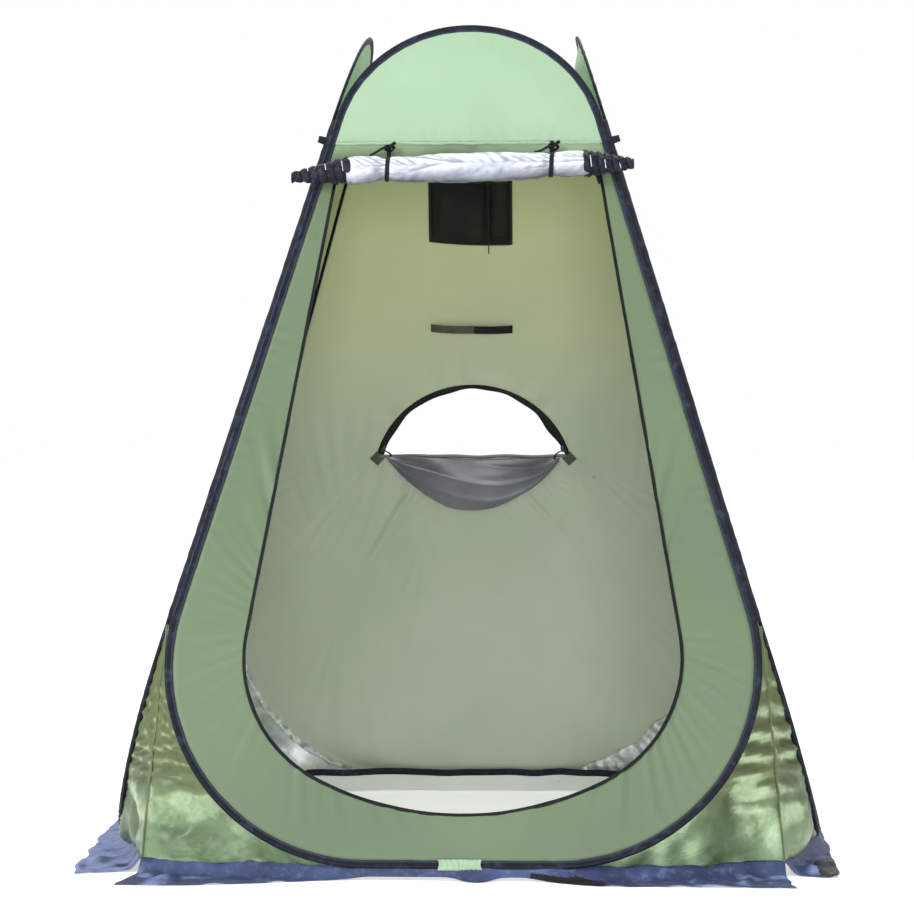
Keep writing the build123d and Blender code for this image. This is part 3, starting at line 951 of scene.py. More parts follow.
def peak(side, seed):
    """The half-round of cloth above the roof seam, drawn tight with small folds along the seam."""
    top = HOOP_LENGTH - CLOTH_INSET
    t = np.sin(np.linspace(0, 1, 46) * pi / 2)
    s = (SEAM + (top - 0.0006 - SEAM) * t)[:, None]
    u = half_width(s) * np.linspace(-1, 1, 84)[None]
    u, s = np.broadcast_arrays(u, s)
    edge, along = nearest(u, s, hoop_outline(CLOTH_INSET))
    free = 1 - np.exp(-((edge / 0.03) ** 2))
    low = s - SEAM
    slack = {"front": 0.004, "right": -0.030, "back": 0.004, "left": -0.004}[side]
    n = slack * (1 - np.exp(-((edge / 0.05) ** 2))) * ramp(low, 0.0, 0.15)
    n = n + 0.0014 * free * ripple(seed, u, s, 0.20)
    gather = crease(ripple(seed + 1, u + low * 0.8, low * 2.4, 0.055, 0.3, 0.45))
    n = n + 0.0042 * gather * blob(low, 0.012, 0.024) * free
    tug = ripple(seed + 2, along, edge * 0.5, 0.04, 0.0, 0.4)
    n = n + 0.0012 * tug * np.exp(-edge / 0.03) * ramp(edge, 0.007, 0.02)
    n = n - 0.0022 * blob(low, 0.0, 0.006) * free
    p = place(side, u, s, n)
    obj = shell(f"{side}_peak", p, CLOTH_THICK, uv=np.stack((u, s - SEAM), -1))
    dress(obj, ["peak", "peak"], side, [f"{side}_top_panel"])
    half = half_width(SEAM)
    outline = hoop_outline(CLOTH_INSET)
    outline = np.vstack((outline[outline[:, 1] >= SEAM], [(-half, SEAM), (half, SEAM)]))
    return obj


def seam_cord(side):
    """The rolled seam where the roof is sewn into the wall."""
    half = half_width(SEAM, BINDING_WIDTH)
    u = np.linspace(-half, half, 150)
    s = SEAM + 0.0012 * drift(17, u, 0.09)
    fat = 1 + 0.22 * ripple(21 + SIDES[side], u[:, None], circle(CORD_POINTS)[None] * 0.002, 0.014)
    obj = cord(f"{side}_roof_seam", place(side, u, s, 0.0008), outward(side), 0.0018, 0.0034, fat)
    return dress(obj, ["peak"], side)


def roof_cloth(side):
    """A quarter of the roof, which sags between the four seams."""
    level = HOOP_FOOT + SEAM * cos(LEAN)
    half = BASE / 2 - SEAM * sin(LEAN) - 0.003
    rows, cols = 44, 60
    k = np.linspace(0, 0.985, rows)[:, None]
    x = half * (1 - k) * np.linspace(-1, 1, cols)[None]
    y = np.broadcast_to(-half * (1 - k), x.shape)
    p = turned(np.stack((x, y, 0 * x), -1), SIDES[side])
    wx, wy = p[..., 0], p[..., 1]
    far = np.maximum(np.abs(wx), np.abs(wy)) / half
    sag = -0.040 * (1 - far**1.6)
    fold = 0.0045 * crease(ripple(61, wx, wy, 0.16, 0.8, 0.6)) + 0.0025 * ripple(62, wx, wy, 0.07)
    p[..., 2] = level + sag + fold * (1 - far**4) - 0.001
    obj = shell(f"{side}_roof_cloth", p, CLOTH_THICK, uv=np.stack((wx, wy), -1))
    dress(obj, ["roof", "lining"], side, [f"{side}_roof_gore"])
    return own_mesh(obj)


# ---- Corner gussets ----
GUSSET_ROWS = 60
GUSSET_COLS = 24          # from a hoop to the corner seam


def gusset_grid(a, b):
    """The corner's cloth from wall a's right foot round to wall b's left foot, before it slackens."""
    t = np.linspace(0, 1, GUSSET_ROWS)
    turn = np.radians(-88 + 99 * t**1.15)
    radius = FOOT_RADIUS - 0.006
    u = FOOT_CENTRE + radius * np.cos(turn)
    s = FOOT_RADIUS + radius * np.sin(turn)
    first = place(a, u, s, -0.001)
    last = place(b, -u, s, -0.001)
    level = first[-1, 2]
    corner = BASE / 2 - (level - HOOP_FOOT) * tan(LEAN) - 0.001
    rise = (first[:, 2] - first[0, 2]) / (level - first[0, 2])
    rise = np.maximum(rise, 0) ** 0.9
    out = GUSSET_FOOT + (corner - GUSSET_FOOT) * rise
    high = SKIRT_HEM + 0.004 + (level - SKIRT_HEM - 0.004) * rise
    seam = turned(np.stack((out, -out, high), -1), SIDES[a])
    w = np.linspace(0, 1, GUSSET_COLS)[None, :, None]
    left = first[:, None] * (1 - w) + seam[:, None] * w
    right = seam[:, None] * (1 - w) + last[:, None] * w
    return np.concatenate((left, right[:, 1:]), 1)


def settle(name, p, pinned, slack, frames):
    """Lets a slack sheet hang between its pinned points, with the cloth simulation."""
    rows, cols = p.shape[:2]
    obj = mesh_object(name, p.reshape(-1, 3), grid_faces(rows, cols, False, False))
    pins = obj.vertex_groups.new(name="pins")
    pins.add(np.flatnonzero(pinned.ravel()).tolist(), 1.0, "REPLACE")
    modifier = obj.modifiers.new("hang", "CLOTH")
    settings = modifier.settings
    settings.quality = 8
    settings.mass = 0.15
    settings.tension_stiffness = 25
    settings.compression_stiffness = 25
    settings.shear_stiffness = 8
    settings.bending_stiffness = 0.05
    settings.tension_damping = 8
    settings.air_damping = 2
    settings.vertex_group_mass = "pins"
    settings.shrink_min = -slack
    modifier.collision_settings.use_collision = False
    modifier.point_cache.frame_start = 1
    modifier.point_cache.frame_end = frames
    scene = bpy.context.scene
    for number in range(1, frames + 1):
        scene.frame_set(number)
    hung = obj.evaluated_get(bpy.context.evaluated_depsgraph_get())
    found = np.empty(rows * cols * 3, np.float32)
    hung.data.vertices.foreach_get("co", found)
    scene.frame_set(1)
    bpy.data.objects.remove(obj)
    return found.reshape(rows, cols, 3).astype(float)


def facets(seed, x, y, size, turn, spread):
    """Relief of flat facets between straight sharp creases."""
    rng = np.random.default_rng(seed)
    total = 0
    for _ in range(FACET_WAVES):
        angle = turn + rng.uniform(-spread, spread)
        count = 2 * pi / size * rng.uniform(0.6, 1.5)
        bend = 0.5 * np.sin(1.3 * count * (y * cos(angle) - x * sin(angle)) / 3 + rng.uniform(0, 6))
        phase = count * (x * cos(angle) + y * sin(angle)) + bend + rng.uniform(0, 2 * pi)
        total = total + np.arcsin(np.sin(phase)) * 2 / pi / (count * size / 2 / pi)
    return total / FACET_WAVES**0.5


def gusset_folds(seed, p, width):
    """Relief that the slack cloth starts from: creases across its narrow top, broad facets at its foot."""
    rows, cols = p.shape[:2]
    i, j = np.meshgrid(np.arange(rows), np.arange(cols), indexing="ij")
    share = j / (cols - 1)
    soft = np.sin(pi * i / (rows - 1)) ** 0.6 * np.minimum(np.abs(np.sin(2 * pi * share)) ** 0.6, 1)
    x, z = (share - 0.5) * width, p[..., 2]
    high = ramp(z, 0.12, 0.24)
    cross = facets(seed, np.abs(x) * 0.5, z, 0.034, pi / 2, 0.28)
    broad = facets(seed + 1, x, z, 0.20, 0.8, 0.8) + 0.6 * facets(seed + 2, x, z, 0.11, 2.3, 0.8)
    return soft * (0.0070 * cross * high * np.minimum(width / 0.12, 1) + 0.015 * broad * (1 - high))


def gussets():
    """The slack corner cloth, hung in one piece and then parted at its corner seam."""
    corners = (("left", "front"), ("front", "right"), ("right", "back"), ("back", "left"))
    for number, (a, b) in enumerate(corners):
        rest = gusset_grid(a, b)
        rows, cols = rest.shape[:2]
        i, j = np.meshgrid(np.arange(rows), np.arange(cols), indexing="ij")
        pinned = (j == 0) | (j == cols - 1) | (i == 0) | (i == rows - 1)
        pinned = pinned | ((j == GUSSET_COLS - 1) & (i % 9 == 0))
        width = np.linalg.norm(rest[:, -1:] - rest[:, :1], axis=-1) / 1.1
        folds = gusset_folds(300 + 10 * number, rest, width)
        p = rest + grid_normals(rest, False, False) * folds[..., None]
        p = settle(f"gusset_{number}", p, pinned, GUSSET_SLACK, HANG_FRAMES)
        p = 0.5 * p + 0.5 * rest + grid_normals(rest, False, False) * (0.9 * folds)[..., None]
        step = [np.linalg.norm(np.gradient(rest, axis=k), axis=-1) + 0.0015 for k in (0, 1)]
        moved = p - rest
        size = np.linalg.norm(moved, axis=-1, keepdims=True)
        p = rest + moved * np.minimum(1, GUSSET_SWING / np.maximum(size, 1e-9))
        p[..., 2] = np.maximum(p[..., 2], SKIRT_HEM)
        x = (j - cols / 2) / cols * width
        for side, hand, part in ((a, "right", p[:, :GUSSET_COLS]), (b, "left", p[:, GUSSET_COLS - 1 :])):
            uv = np.stack((x[:, : part.shape[1]], part[..., 2]), -1)
            obj = shell(f"{side}_gusset_cloth_{hand}", part, SATIN_THICK, uv=uv)
            piece = slice(0, GUSSET_COLS) if hand == "right" else slice(GUSSET_COLS - 1, None)
            # tilt for the painted highlights and shade on the gusset's creases
            bends(obj, folds[:, piece], step[0][:, piece], step[1][:, piece], 4.6)
            dress(obj, ["gusset", "silver"], side, [f"{side}_gusset_{hand}"])
            squash_flat(obj, side)
        seam_tape(a, p[:, GUSSET_COLS - 1], number)


def squash_flat(obj, side):
    """Gives a piece its own copy of its mesh."""
    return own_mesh(obj, FOLDS[side], axis=tuple(outward(side)), anchor=tuple(place(side, 0.0, 0.0, 0.0)),
                     keep=0.06)


def seam_tape(side, seam, number):
    """The lapped seam down the tent's corner, below the hoops' legs."""
    path, _ = spaced(seam, 90)
    away = unit(path * (1, 1, 0))
    obj = ribbon(f"corner_seam_{number}", path + away * 0.0012, np.cross(away, (0, 0, 1)), 0.005, TAPE_THICK)
    dress(obj, ["gusset_seam"], side)
    squash_flat(obj, side)


def corner_lining(side, hand):
    """Crumpled coated cloth along the inside of the hem and up over the hoop's rounded foot."""
    straight = 0.10
    along = np.linspace(0, straight + FOOT_RADIUS * pi / 2, 190)[:, None]
    turn = np.maximum(along - straight, 0) / FOOT_RADIUS - pi / 2
    t = np.linspace(0, 1, 24)[None]
    share = along / along[-1]
    widest, low = (0.021, 0.45) if hand > 0 else (0.078, 0.42)
    wide = widest * np.interp(share, (0, 0.16, 0.36, 0.62, 0.85, 1), (0.06, low, 0.85, 1.0, 0.72, 0.10))
    across = -0.002 + wide * t * (1 + 0.08 * drift(401 + hand, along, 0.14))
    radius = FOOT_RADIUS - across
    crumple = facets(402 + hand, along, across, 0.050, 0.5, 0.9)
    crumple = crumple + 0.4 * facets(408 + hand, along, across, 0.022, 0.9, 0.9)
    rise = np.sin(pi * t**0.8) ** 0.6 * np.minimum(wide / 0.02, 1)
    n = -0.0052 * rise - 0.0040 * (crumple + 0.6) * rise - 0.0046 * (1 - t)
    u = hand * (FOOT_CENTRE - np.maximum(straight - along, 0) + radius * np.cos(turn))
    s = FOOT_RADIUS + radius * np.sin(turn)
    p = place(side, u, s, n)
    uv = stacked(along, across)
    p, uv, crumple = (p, uv, crumple) if hand > 0 else (p[::-1], uv[::-1], crumple[::-1])
    obj = shell(f"{side}_corner_lining_{FRONT_NAMES[hand]}", p, COATING_THICK, uv=uv)
    # tilt for the painted highlights and shade on the lining's crumples
    bends(obj, 0.003 * crumple, 0.0031, 0.0012, 2.0, turn=0.5)
    return dress(obj, ["silver", "silver"], side)


# ---- Skirt ----
def hem_line(u):
    """How far from the tent's middle the hem lies that the skirt is sewn to: it cuts each corner."""
    slope = (BASE / 2 - GUSSET_FOOT) / (GUSSET_FOOT - FOOT_CENTRE)
    return BASE / 2 - np.maximum(np.abs(u) - FOOT_CENTRE, 0) * slope


def skirt_reach(side, u):
    """How far from the tent's middle the skirt's edge lies. It is tucked under the middle of the front."""
    seed = 71 + SIDES[side]
    ragged = 0.004 * drift(seed, u, 0.28) + 0.001 * drift(seed + 1, u, 0.08)
    if side == "front":
        deep = 0.094 * ramp(-u, 0.18, 0.62) + 0.078 * ramp(u, 0.12, 0.34)
        deep = deep + 0.034 * blob(u, 0.035, 0.035) + 0.004
        return BASE / 2 + deep + ragged * ramp(np.abs(u), 0.15, 0.35)
    if side == "back":
        return BASE / 2 + 0.086 + ragged
    near = u * (1 if side == "left" else -1)      # towards the front of the tent
    deep = {
        "left": (0.070, 0.084, 0.076, 0.062, 0.046, 0.034),
        "right": (0.040, 0.034, 0.026, 0.022, 0.016, 0.006),
    }[side]
    return BASE / 2 + np.interp(near, (-0.70, -0.36, 0.0, 0.36, 0.62, 0.70), deep) + ragged


def skirt(side):
    """Thin nylon sewn to the hem: it drops, crumples and lies on the ground."""
    rows, cols = 30, 330
    u = np.linspace(-GUSSET_FOOT, GUSSET_FOOT, cols)[None]
    t = np.linspace(0, 1, rows)[:, None] ** 0.9
    seed = 80 + SIDES[side]
    hem, edge = hem_line(u) - HEM_LAP, skirt_reach(side, u)
    wide = edge - hem
    far = wide * t
    out = hem + far
    drop = (SKIRT_HEM + HEM_RISE) * np.exp(-((far / 0.020) ** 2)) * (1 - 0.75 * t) + 0.0012
    crumple = 0.6 * crease(ripple(seed, u, out * 1.2, 0.22, 0.25, 0.7)) + 0.5 * ripple(seed + 1, u, out, 0.09)
    free = ramp(wide, 0.02, 0.09)
    lift = 0.004 + 0.006 * ramp(np.abs(u), 0.40, 0.66)
    lift = lift * np.maximum(crumple + 0.3, 0.0) * np.sin(pi * t) ** 0.8
    tail = 0.004 * np.maximum(ripple(seed + 2, u, out, 0.09), 0) * ramp(t, 0.8, 1.0)
    hump = LEFT_HUMP * ramp(-u, 0.00, 0.55) * np.sin(pi * np.minimum(t * 1.1, 1)) * (side == "left")
    z = np.maximum(drop + (lift + tail) * free + hump, 0.0009)
    spread = (SKIRT_HALF - GUSSET_FOOT) * ramp(np.abs(u), 0.5, GUSSET_FOOT) * np.sign(u) * t
    if side == "front":
        spread = spread * np.where(u < 0, 0.8, 0.35)
    sway = 0.005 * ripple(seed + 3, out, u * 0.15, 0.12) * t * free
    x = u + spread + sway
    p = turned(stacked(x, -out, z), SIDES[side])
    uv = stacked(u, out)
    obj = shell(f"{side}_ground_skirt", p[::-1], THIN_CLOTH, uv=uv[::-1])
    dress(obj, ["skirt", "skirt_under"], side, [f"{side}_skirt"])
    # Painted light: the left skirt's raised back half is tilted towards the light, so it is painted lighter
    lit = 0.9 if side == "left" else 0.0
    bends(obj, ((lift + tail) * free - hump)[::-1], 0.0035, 0.0045, 2.2, lit=lit)
    paint_turned_edge_shade(obj, side, u, t)
    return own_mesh(obj, FOLDS[side], axis=tuple(turned(np.array([0.0, -1.0, 0.0]), SIDES[side])),
                     anchor=tuple(place(side, 0.0, 0.0, 0.0)), keep=0.3)


def paint_turned_edge_shade(obj, side, u, t):
    """Paints shade where the skirt's edge would be turned under: faces on its outside take the dark
    underside's finish there, though the cloth is not turned.
    """
    low, high, first = {"front": (0.15, 0.31, 0.45), "right": (-0.70, -0.44, 0.55)}.get(side, (0, 0, 1))
    along = u[0, :-1]
    edge = first + 0.12 * drift(77, along, 0.09)
    # the faces that take the painted shade
    dark = (along[None] > low) & (along[None] < high) & (t[:-1][::-1] > edge[None])
    marks = np.zeros(len(obj.data.polygons), np.int32)
    obj.data.polygons.foreach_get("material_index", marks)
    marks[: dark.size] = dark.ravel()
    obj.data.polygons.foreach_set("material_index", marks)


# ---- Rolled-up door ----
def roll_place(along, across, out):
    """Points about the roll's axis: along it, up the wall and out of the wall."""
    t = radians(ROLL_TILT)
    u = along * cos(t) + across * sin(t)
    return place("front", u, ROLL_S - along * sin(t) + across * cos(t), ROLL_N + out)


def roll_radius(x):
    """The roll swells between its ties and is pinched under them."""
    r = ROLL_RADIUS - 0.0020 + 0.0016 * drift(5, x, 0.23)
    for hand in (-1, 1):
        r = r - ROLL_PINCH * blob(x, hand * TIE_U, 0.016)
    return r - 0.002 * ramp(np.abs(x), 0.25, 0.272)


def rolled_door():
    """The door's cloth wound up, its coated face out: slack twisted folds and a loose outer edge."""
    x = np.linspace(-ROLL_HALF - ROLL_LAP, ROLL_HALF + ROLL_LAP, 330)[:, None]
    a = circle(120)[None]
    r = roll_radius(x)
    arc_length = a * ROLL_RADIUS
    wrapped = np.minimum(a, 2 * pi - a) * ROLL_RADIUS
    twist = crease(ripple(6, x * 0.35 + wrapped * 0.5, wrapped * 1.2, 0.085, 0.9, 0.5))
    small = ripple(7, x + wrapped, wrapped, 0.03, 0.4, 0.7)
    near_tie = blob(np.abs(x), TIE_U, 0.045)
    pinch = crease(ripple(8, wrapped, x * 0.12, 0.018, 0.0, 0.25)) * near_tie
    lip = -5 * pi / 12 + 0.10 * drift(9, x, 0.16)
    behind = np.mod(a - lip, 2 * pi)
    r = r + 0.0026 * np.exp(-behind / 0.9) * (1 - 0.6 * near_tie)
    r = r + 0.0022 * twist * (1 - 0.5 * near_tie) + 0.0005 * small + 0.0008 * pinch
    across = r * np.sin(a) - 0.0035 * (np.sin(a) < 0) * np.sin(a) ** 2 * (1 - near_tie)
    out = r * np.cos(a)
    p = roll_place(np.broadcast_to(x, r.shape), across, out)
    uv = stacked(x, arc_length)
    obj = surface("rolled_door_cloth", p[:, ::-1], False, True, uv[:, ::-1])
    # tilt for the painted highlights and shade on the roll's folds
    bends(obj, r[:, ::-1], 0.0016, -0.0017, 3.4, turn=1.0)
    dress(obj, ["roll"], "front", ["door_roll"])
    return obj


def cone_axis(hand, q):
    """Along the cone from the roll's end, q turns out. Its end droops."""
    droop, stretch = {-1: (0.014, 1.12), 1: (0.003, 0.93)}[hand]
    along = hand * (ROLL_HALF - 0.007 + q * CONE_STEP * stretch)
    return along, -droop * (np.maximum(q, 0) / CONE_TURNS) ** 1.4


def cone_radius(q):
    return ROLL_RADIUS - 0.0035 - q * (ROLL_RADIUS - CONE_TIP_R) / CONE_TURNS


def cone_points(hand, q, angle, r):
    along, low = cone_axis(hand, q)
    return roll_place(along, low + r * np.sin(angle), r * np.cos(angle))


def roll_spiral(hand):
    """The door's bound edges wound into a cone: each turn of tape is a rounded rib that laps the next."""
    name = FRONT_NAMES[hand]
    q = np.concatenate((np.linspace(0, CONE_TURNS, CONE_TURNS * 26), np.full(6, CONE_TURNS)))[:, None]
    angle = circle(96)[None]
    part = np.mod(q + hand * angle / (2 * pi), 1.0)
    uneven = 1 + 0.12 * ripple(14 + hand, q * 0.02, angle * 0.02, 0.03)
    rib = 0.0050 * np.abs(np.sin(pi * part**0.8)) ** 0.55 * uneven
    r = cone_radius(q) + rib + 0.0007 * ripple(15 + hand, q * 0.016, angle * 0.03, 0.02)
    tip = (0.93, 0.80, 0.72, 0.55, 0.3, 0.02)
    tail = np.concatenate((np.ones(len(q) - 6), tip))[:, None]
    start = ramp(q, 0.0, 0.04) * 0.25 + 0.75
    hollow = (-0.0012, -0.0004, 0.004, 0.005, 0.004, 0.003)
    depth = np.concatenate((np.zeros(len(q) - 6), hollow))[:, None] / CONE_STEP
    p = cone_points(hand, q - depth, angle, r * tail * start)
    uv = stacked(angle * 0.02, q * CONE_STEP)
    if hand > 0:
        p, uv = p[:, ::-1], uv[:, ::-1]
    obj = surface(f"roll_spiral_{name}", p, False, True, uv)
    dress(obj, ["tape"], "front", [f"roll_end_{name}"])

    threads = []
    for number, first in enumerate((1.02, 2.98, 5.02)):
        span = np.linspace(-0.06 + 0.05 * number, 0.10 + 0.04 * number, 40)
        turn = -hand * 2 * pi * span
        k = first + span
        path = cone_points(hand, k, turn, cone_radius(k) + 0.0022)
        threads.append(ribbon(f"roll_edge_{name}_{number}", path, outward("front"), 0.0018, 0.0020))
    edge = join(f"roll_edge_{name}", threads)
    dress(edge, ["facing"], "front")


def door_tie(hand):
    """A tie sewn in at the seam: once round the roll, knotted above it, its tail hanging to one side."""
    name = FRONT_NAMES[hand]
    u = hand * TIE_U + (0.009 if hand < 0 else 0.001)
    a = np.radians(np.linspace(96, 96 - 372, 84))
    r = roll_radius(np.array([u]))[0] + 0.0022
    lean = 0.004 * np.sin(a * 0.5)
    loop = roll_place(u + lean, r * np.sin(a) - 0.0012 * (np.sin(a) < 0), r * np.cos(a))
    along_u = place("front", 1.0, 0, 0) - place("front", 0.0, 0, 0)
    parts = [ribbon("tie_loop", loop, along_u, TIE_WIDTH, STRAP_THICK)]
    top = ROLL_S + ROLL_RADIUS - u * sin(radians(ROLL_TILT))
    stem = [(u + 0.001, top - 0.006, 0.026), (u, top + 0.006, 0.016), (u, top + 0.026, 0.008),
            (u, top + 0.040, 0.0035)]

    def panel(points, count):
        return smooth_path([place("front", *q) for q in points], count)

    parts.append(ribbon("tie_stem", panel(stem, 20), along_u, TIE_WIDTH * 0.9, STRAP_THICK))
    rng = np.random.default_rng(50 + hand)
    knot_u, knot_s = u + (0.001 if hand < 0 else 0.004), top + (0.030 if hand < 0 else 0.022)
    for k in range(3):
        c = np.linspace(0, 2 * pi, 40)
        tilt = rng.uniform(-0.7, 0.7)
        wide, tall = 0.0085 + 0.0015 * k, 0.0065
        du = wide * np.cos(c) * cos(tilt) - tall * np.sin(c) * sin(tilt)
        ds = wide * np.cos(c) * sin(tilt) + tall * np.sin(c) * cos(tilt)
        path = place("front", knot_u + du, knot_s + ds, 0.0115 + 0.0035 * np.sin(c * 2 + k))
        parts.append(ribbon("tie_knot", path, outward("front") + 0.4 * along_u, 0.0072, 0.0024))
    drop = 0.017 if hand < 0 else 0.012
    tail = [(knot_u, knot_s, 0.017), (knot_u - 0.012, knot_s - 0.002, 0.019),
            (knot_u - 0.028, knot_s - 0.009, 0.013), (knot_u - 0.045, knot_s - drop, 0.009)]
    parts.append(ribbon("tie_tail", panel(tail, 26), up_wall("front"), 0.006, TAPE_THICK))
    stub = [(knot_u, knot_s, 0.016), (knot_u + 0.007, knot_s + 0.006, 0.020),
            (knot_u + 0.014, knot_s + 0.011, 0.017)]
    parts.append(ribbon("tie_stub", panel(stub, 14), up_wall("front"), 0.007, TAPE_THICK))
    obj = join(f"tie_{name}_strap", parts)
    return dress(obj, ["webbing"], "front", [f"door_tie_{name}"])


# ---- Zips ----
def zip_band(name, side, outline, shift, inner, outer, twist, seed, low=None, high=None):
    """Zip tape along an outline, above low or below high, with its coil of teeth on the free edge."""
    line, along, inward = edge_frame(outline, ZIP_POINTS)
    keep = line[:, 1] < high if low is None else line[:, 1] > low
    start = np.flatnonzero(keep & ~np.roll(keep, 1))
    order = (np.arange(keep.sum()) + start[0]) % len(line)
    line, along, inward = line[order], along[order], inward[order]
    t = np.array([0.0, 0.15, 0.35, 0.55, 0.7, 0.8, 0.87, 0.94, 1.0])[None]
    thin = 1 - 0.45 * blob(line[:, 0], 0.01, 0.05) * (side == "back")
    width = (outer + inner) * (1 + twist * drift(seed, along, 0.13)) * thin
    across = -outer + t * width[:, None]
    n = 0.0016 * ripple(seed + 1, along[:, None], across, 0.16) * t
    u = line[:, :1] + inward[:, :1] * across + shift
    s = line[:, 1:] + inward[:, 1:] * across
    tooth = np.abs(np.sin(pi * along / TOOTH_PITCH))[:, None]
    n = n + np.where(t > 0.75, 1, 0) * 0.0009 * (0.35 + tooth)
    if side == "back":
        n = n - 0.0012
    p = place(side, u, s, n)
    uv = stacked(along[:, None], across)
    return shell(name, p[:, ::-1], ZIP_THICK, uv=uv[:, ::-1])


def door_zip():
    obj = zip_band("door_zip_tape", "front", door_outline(), 0.0, 0.0058, 0.0018, 0.05, 33,
                   high=DOOR_ZIP_TOP)
    return dress(obj, ["zip", "zip"], "front", ["door_zip"])


def window_zip():
    obj = zip_band("window_zip_tape", "back", window_outline(), FITTINGS_U, 0.0125, 0.004, 0.22, 35,
                   low=WINDOW_SILL + 0.004)
    return dress(obj, ["zip", "zip"], "back", ["window_zip"])


def window_hem():
    """The folded edge of cloth along the window's sill, behind the flap."""
    u = np.linspace(-WINDOW_HALF + 0.004, WINDOW_HALF - 0.004, 120)
    s = WINDOW_SILL - 0.002 + 0.0012 * drift(3, u, 0.1)
    path = place("back", u + FITTINGS_U, s, -0.001)
    obj = cord("window_sill_hem", path, outward("back"), 0.0020, 0.0045, np.ones((len(u), 1)))
    return dress(obj, ["flap"], "back")


def slider_piece(body, place_local, hanging):
    """A zip slider: two plates round the tape, a bail, and a cloth pull that hangs or curls aside."""
    a = circle(28)

    def plate(z0, z1):
        x = SLIDER_HALF * squarish(np.cos(a), 0.55)
        taper = 1 - 0.28 * (x > 0) * x / SLIDER_HALF
        y = 0.0055 * squarish(np.sin(a), 0.55) * taper
        rows = []
        for grow, z in ((0.80, z0), (1.0, z0 + (z1 - z0) * 0.3), (1.0, z0 + (z1 - z0) * 0.7), (0.80, z1)):
            rows.append(np.stack((x * grow, y * grow + 0.0005, z + 0 * x), -1))
        return np.array(rows)

    parts = []
    for k, (z0, z1) in enumerate(((-0.0043, -0.0018), (0.0018, 0.0043))):
        p = plate(z0, z1)
        rows, cols = p.shape[:2]
        faces = [list(f) for f in grid_faces(rows, cols, False, True)]
        faces.append(list(range(cols))[::-1])
        faces.append([(rows - 1) * cols + j for j in range(cols)])
        parts.append(mesh_object(f"plate_{k}", place_local(p.reshape(-1, 3)), faces))
    post = np.stack((np.full(6, 0.0055), np.zeros(6) + 0.003, np.linspace(-0.002, 0.002, 6)), -1)
    parts.append(ribbon("post", place_local(post), (1.0, 0, 0), 0.003, 0.003))
    c = np.linspace(0, pi, 20)
    bail = np.stack((0.0045 * np.cos(c) - 0.001, 0 * c, -0.0040 - 0.0032 * np.sin(c)), -1)
    side_way = place_local(np.array([[0, 1.0, 0]]))[0] - place_local(np.zeros((1, 3)))[0]
    parts.append(ribbon("bail", place_local(bail), side_way, 0.0032, 0.0012))
    plates = join(f"{body}_metal", parts)
    dress(plates, ["slider"], body, [body])
    if hanging:
        pull = [(-0.002, 0, -0.0066), (-0.009, 0.0008, -0.0086),
                (-0.019, 0.0010, -0.0082), (-0.029, -0.0006, -0.0070)]
    else:
        pull = [(-0.003, 0.001, -0.0066), (-0.003, 0.012, -0.0086),
                (-0.007, 0.023, -0.0086), (-0.019, 0.032, -0.0076)]
        side_way = place_local(np.array([[0, 0, 1.0]]))[0] - place_local(np.zeros((1, 3)))[0] + 0.6 * side_way
    strap = ribbon(f"{body}_metal_pull", place_local(smooth_path(pull, 30)), side_way, PULL_WIDTH, PULL_THICK)
    dress(strap, ["webbing"], body)


def door_slider(hand):
    name = FRONT_NAMES[hand]
    side = atan(DOOR_SPREAD)
    s0 = DOOR_ZIP_TOP - 0.014
    u0 = DOOR_TOP_HALF + (DOOR_TOP - s0) * DOOR_SPREAD - ZIP_WIDTH / cos(side)
    turn = pi / 2 + side

    def to_frame(p):
        x, y, z = p[:, 0], p[:, 1], -p[:, 2]
        u = u0 + x * cos(turn) - y * sin(turn)
        s = s0 + x * sin(turn) + y * cos(turn)
        return place("front", u * hand, s, z)

    slider_piece(f"door_slider_{name}", to_frame, True)


def window_slider(hand):
    """hand is +1 for the slider at higher u, which is the tent's left seen from the door."""
    name = BACK_NAMES[hand]
    turn = radians(WINDOW_SLIDER_ANGLE)

    def to_frame(p):
        x, y, z = WINDOW_RADIUS - ZIP_WIDTH - p[:, 1], p[:, 0], p[:, 2]
        u = x * cos(turn) - y * sin(turn)
        s = WINDOW_CENTRE + x * sin(turn) + y * cos(turn)
        return place("back", u * hand + FITTINGS_U, s, z)

    slider_piece(f"window_slider_{name}", to_frame, False)


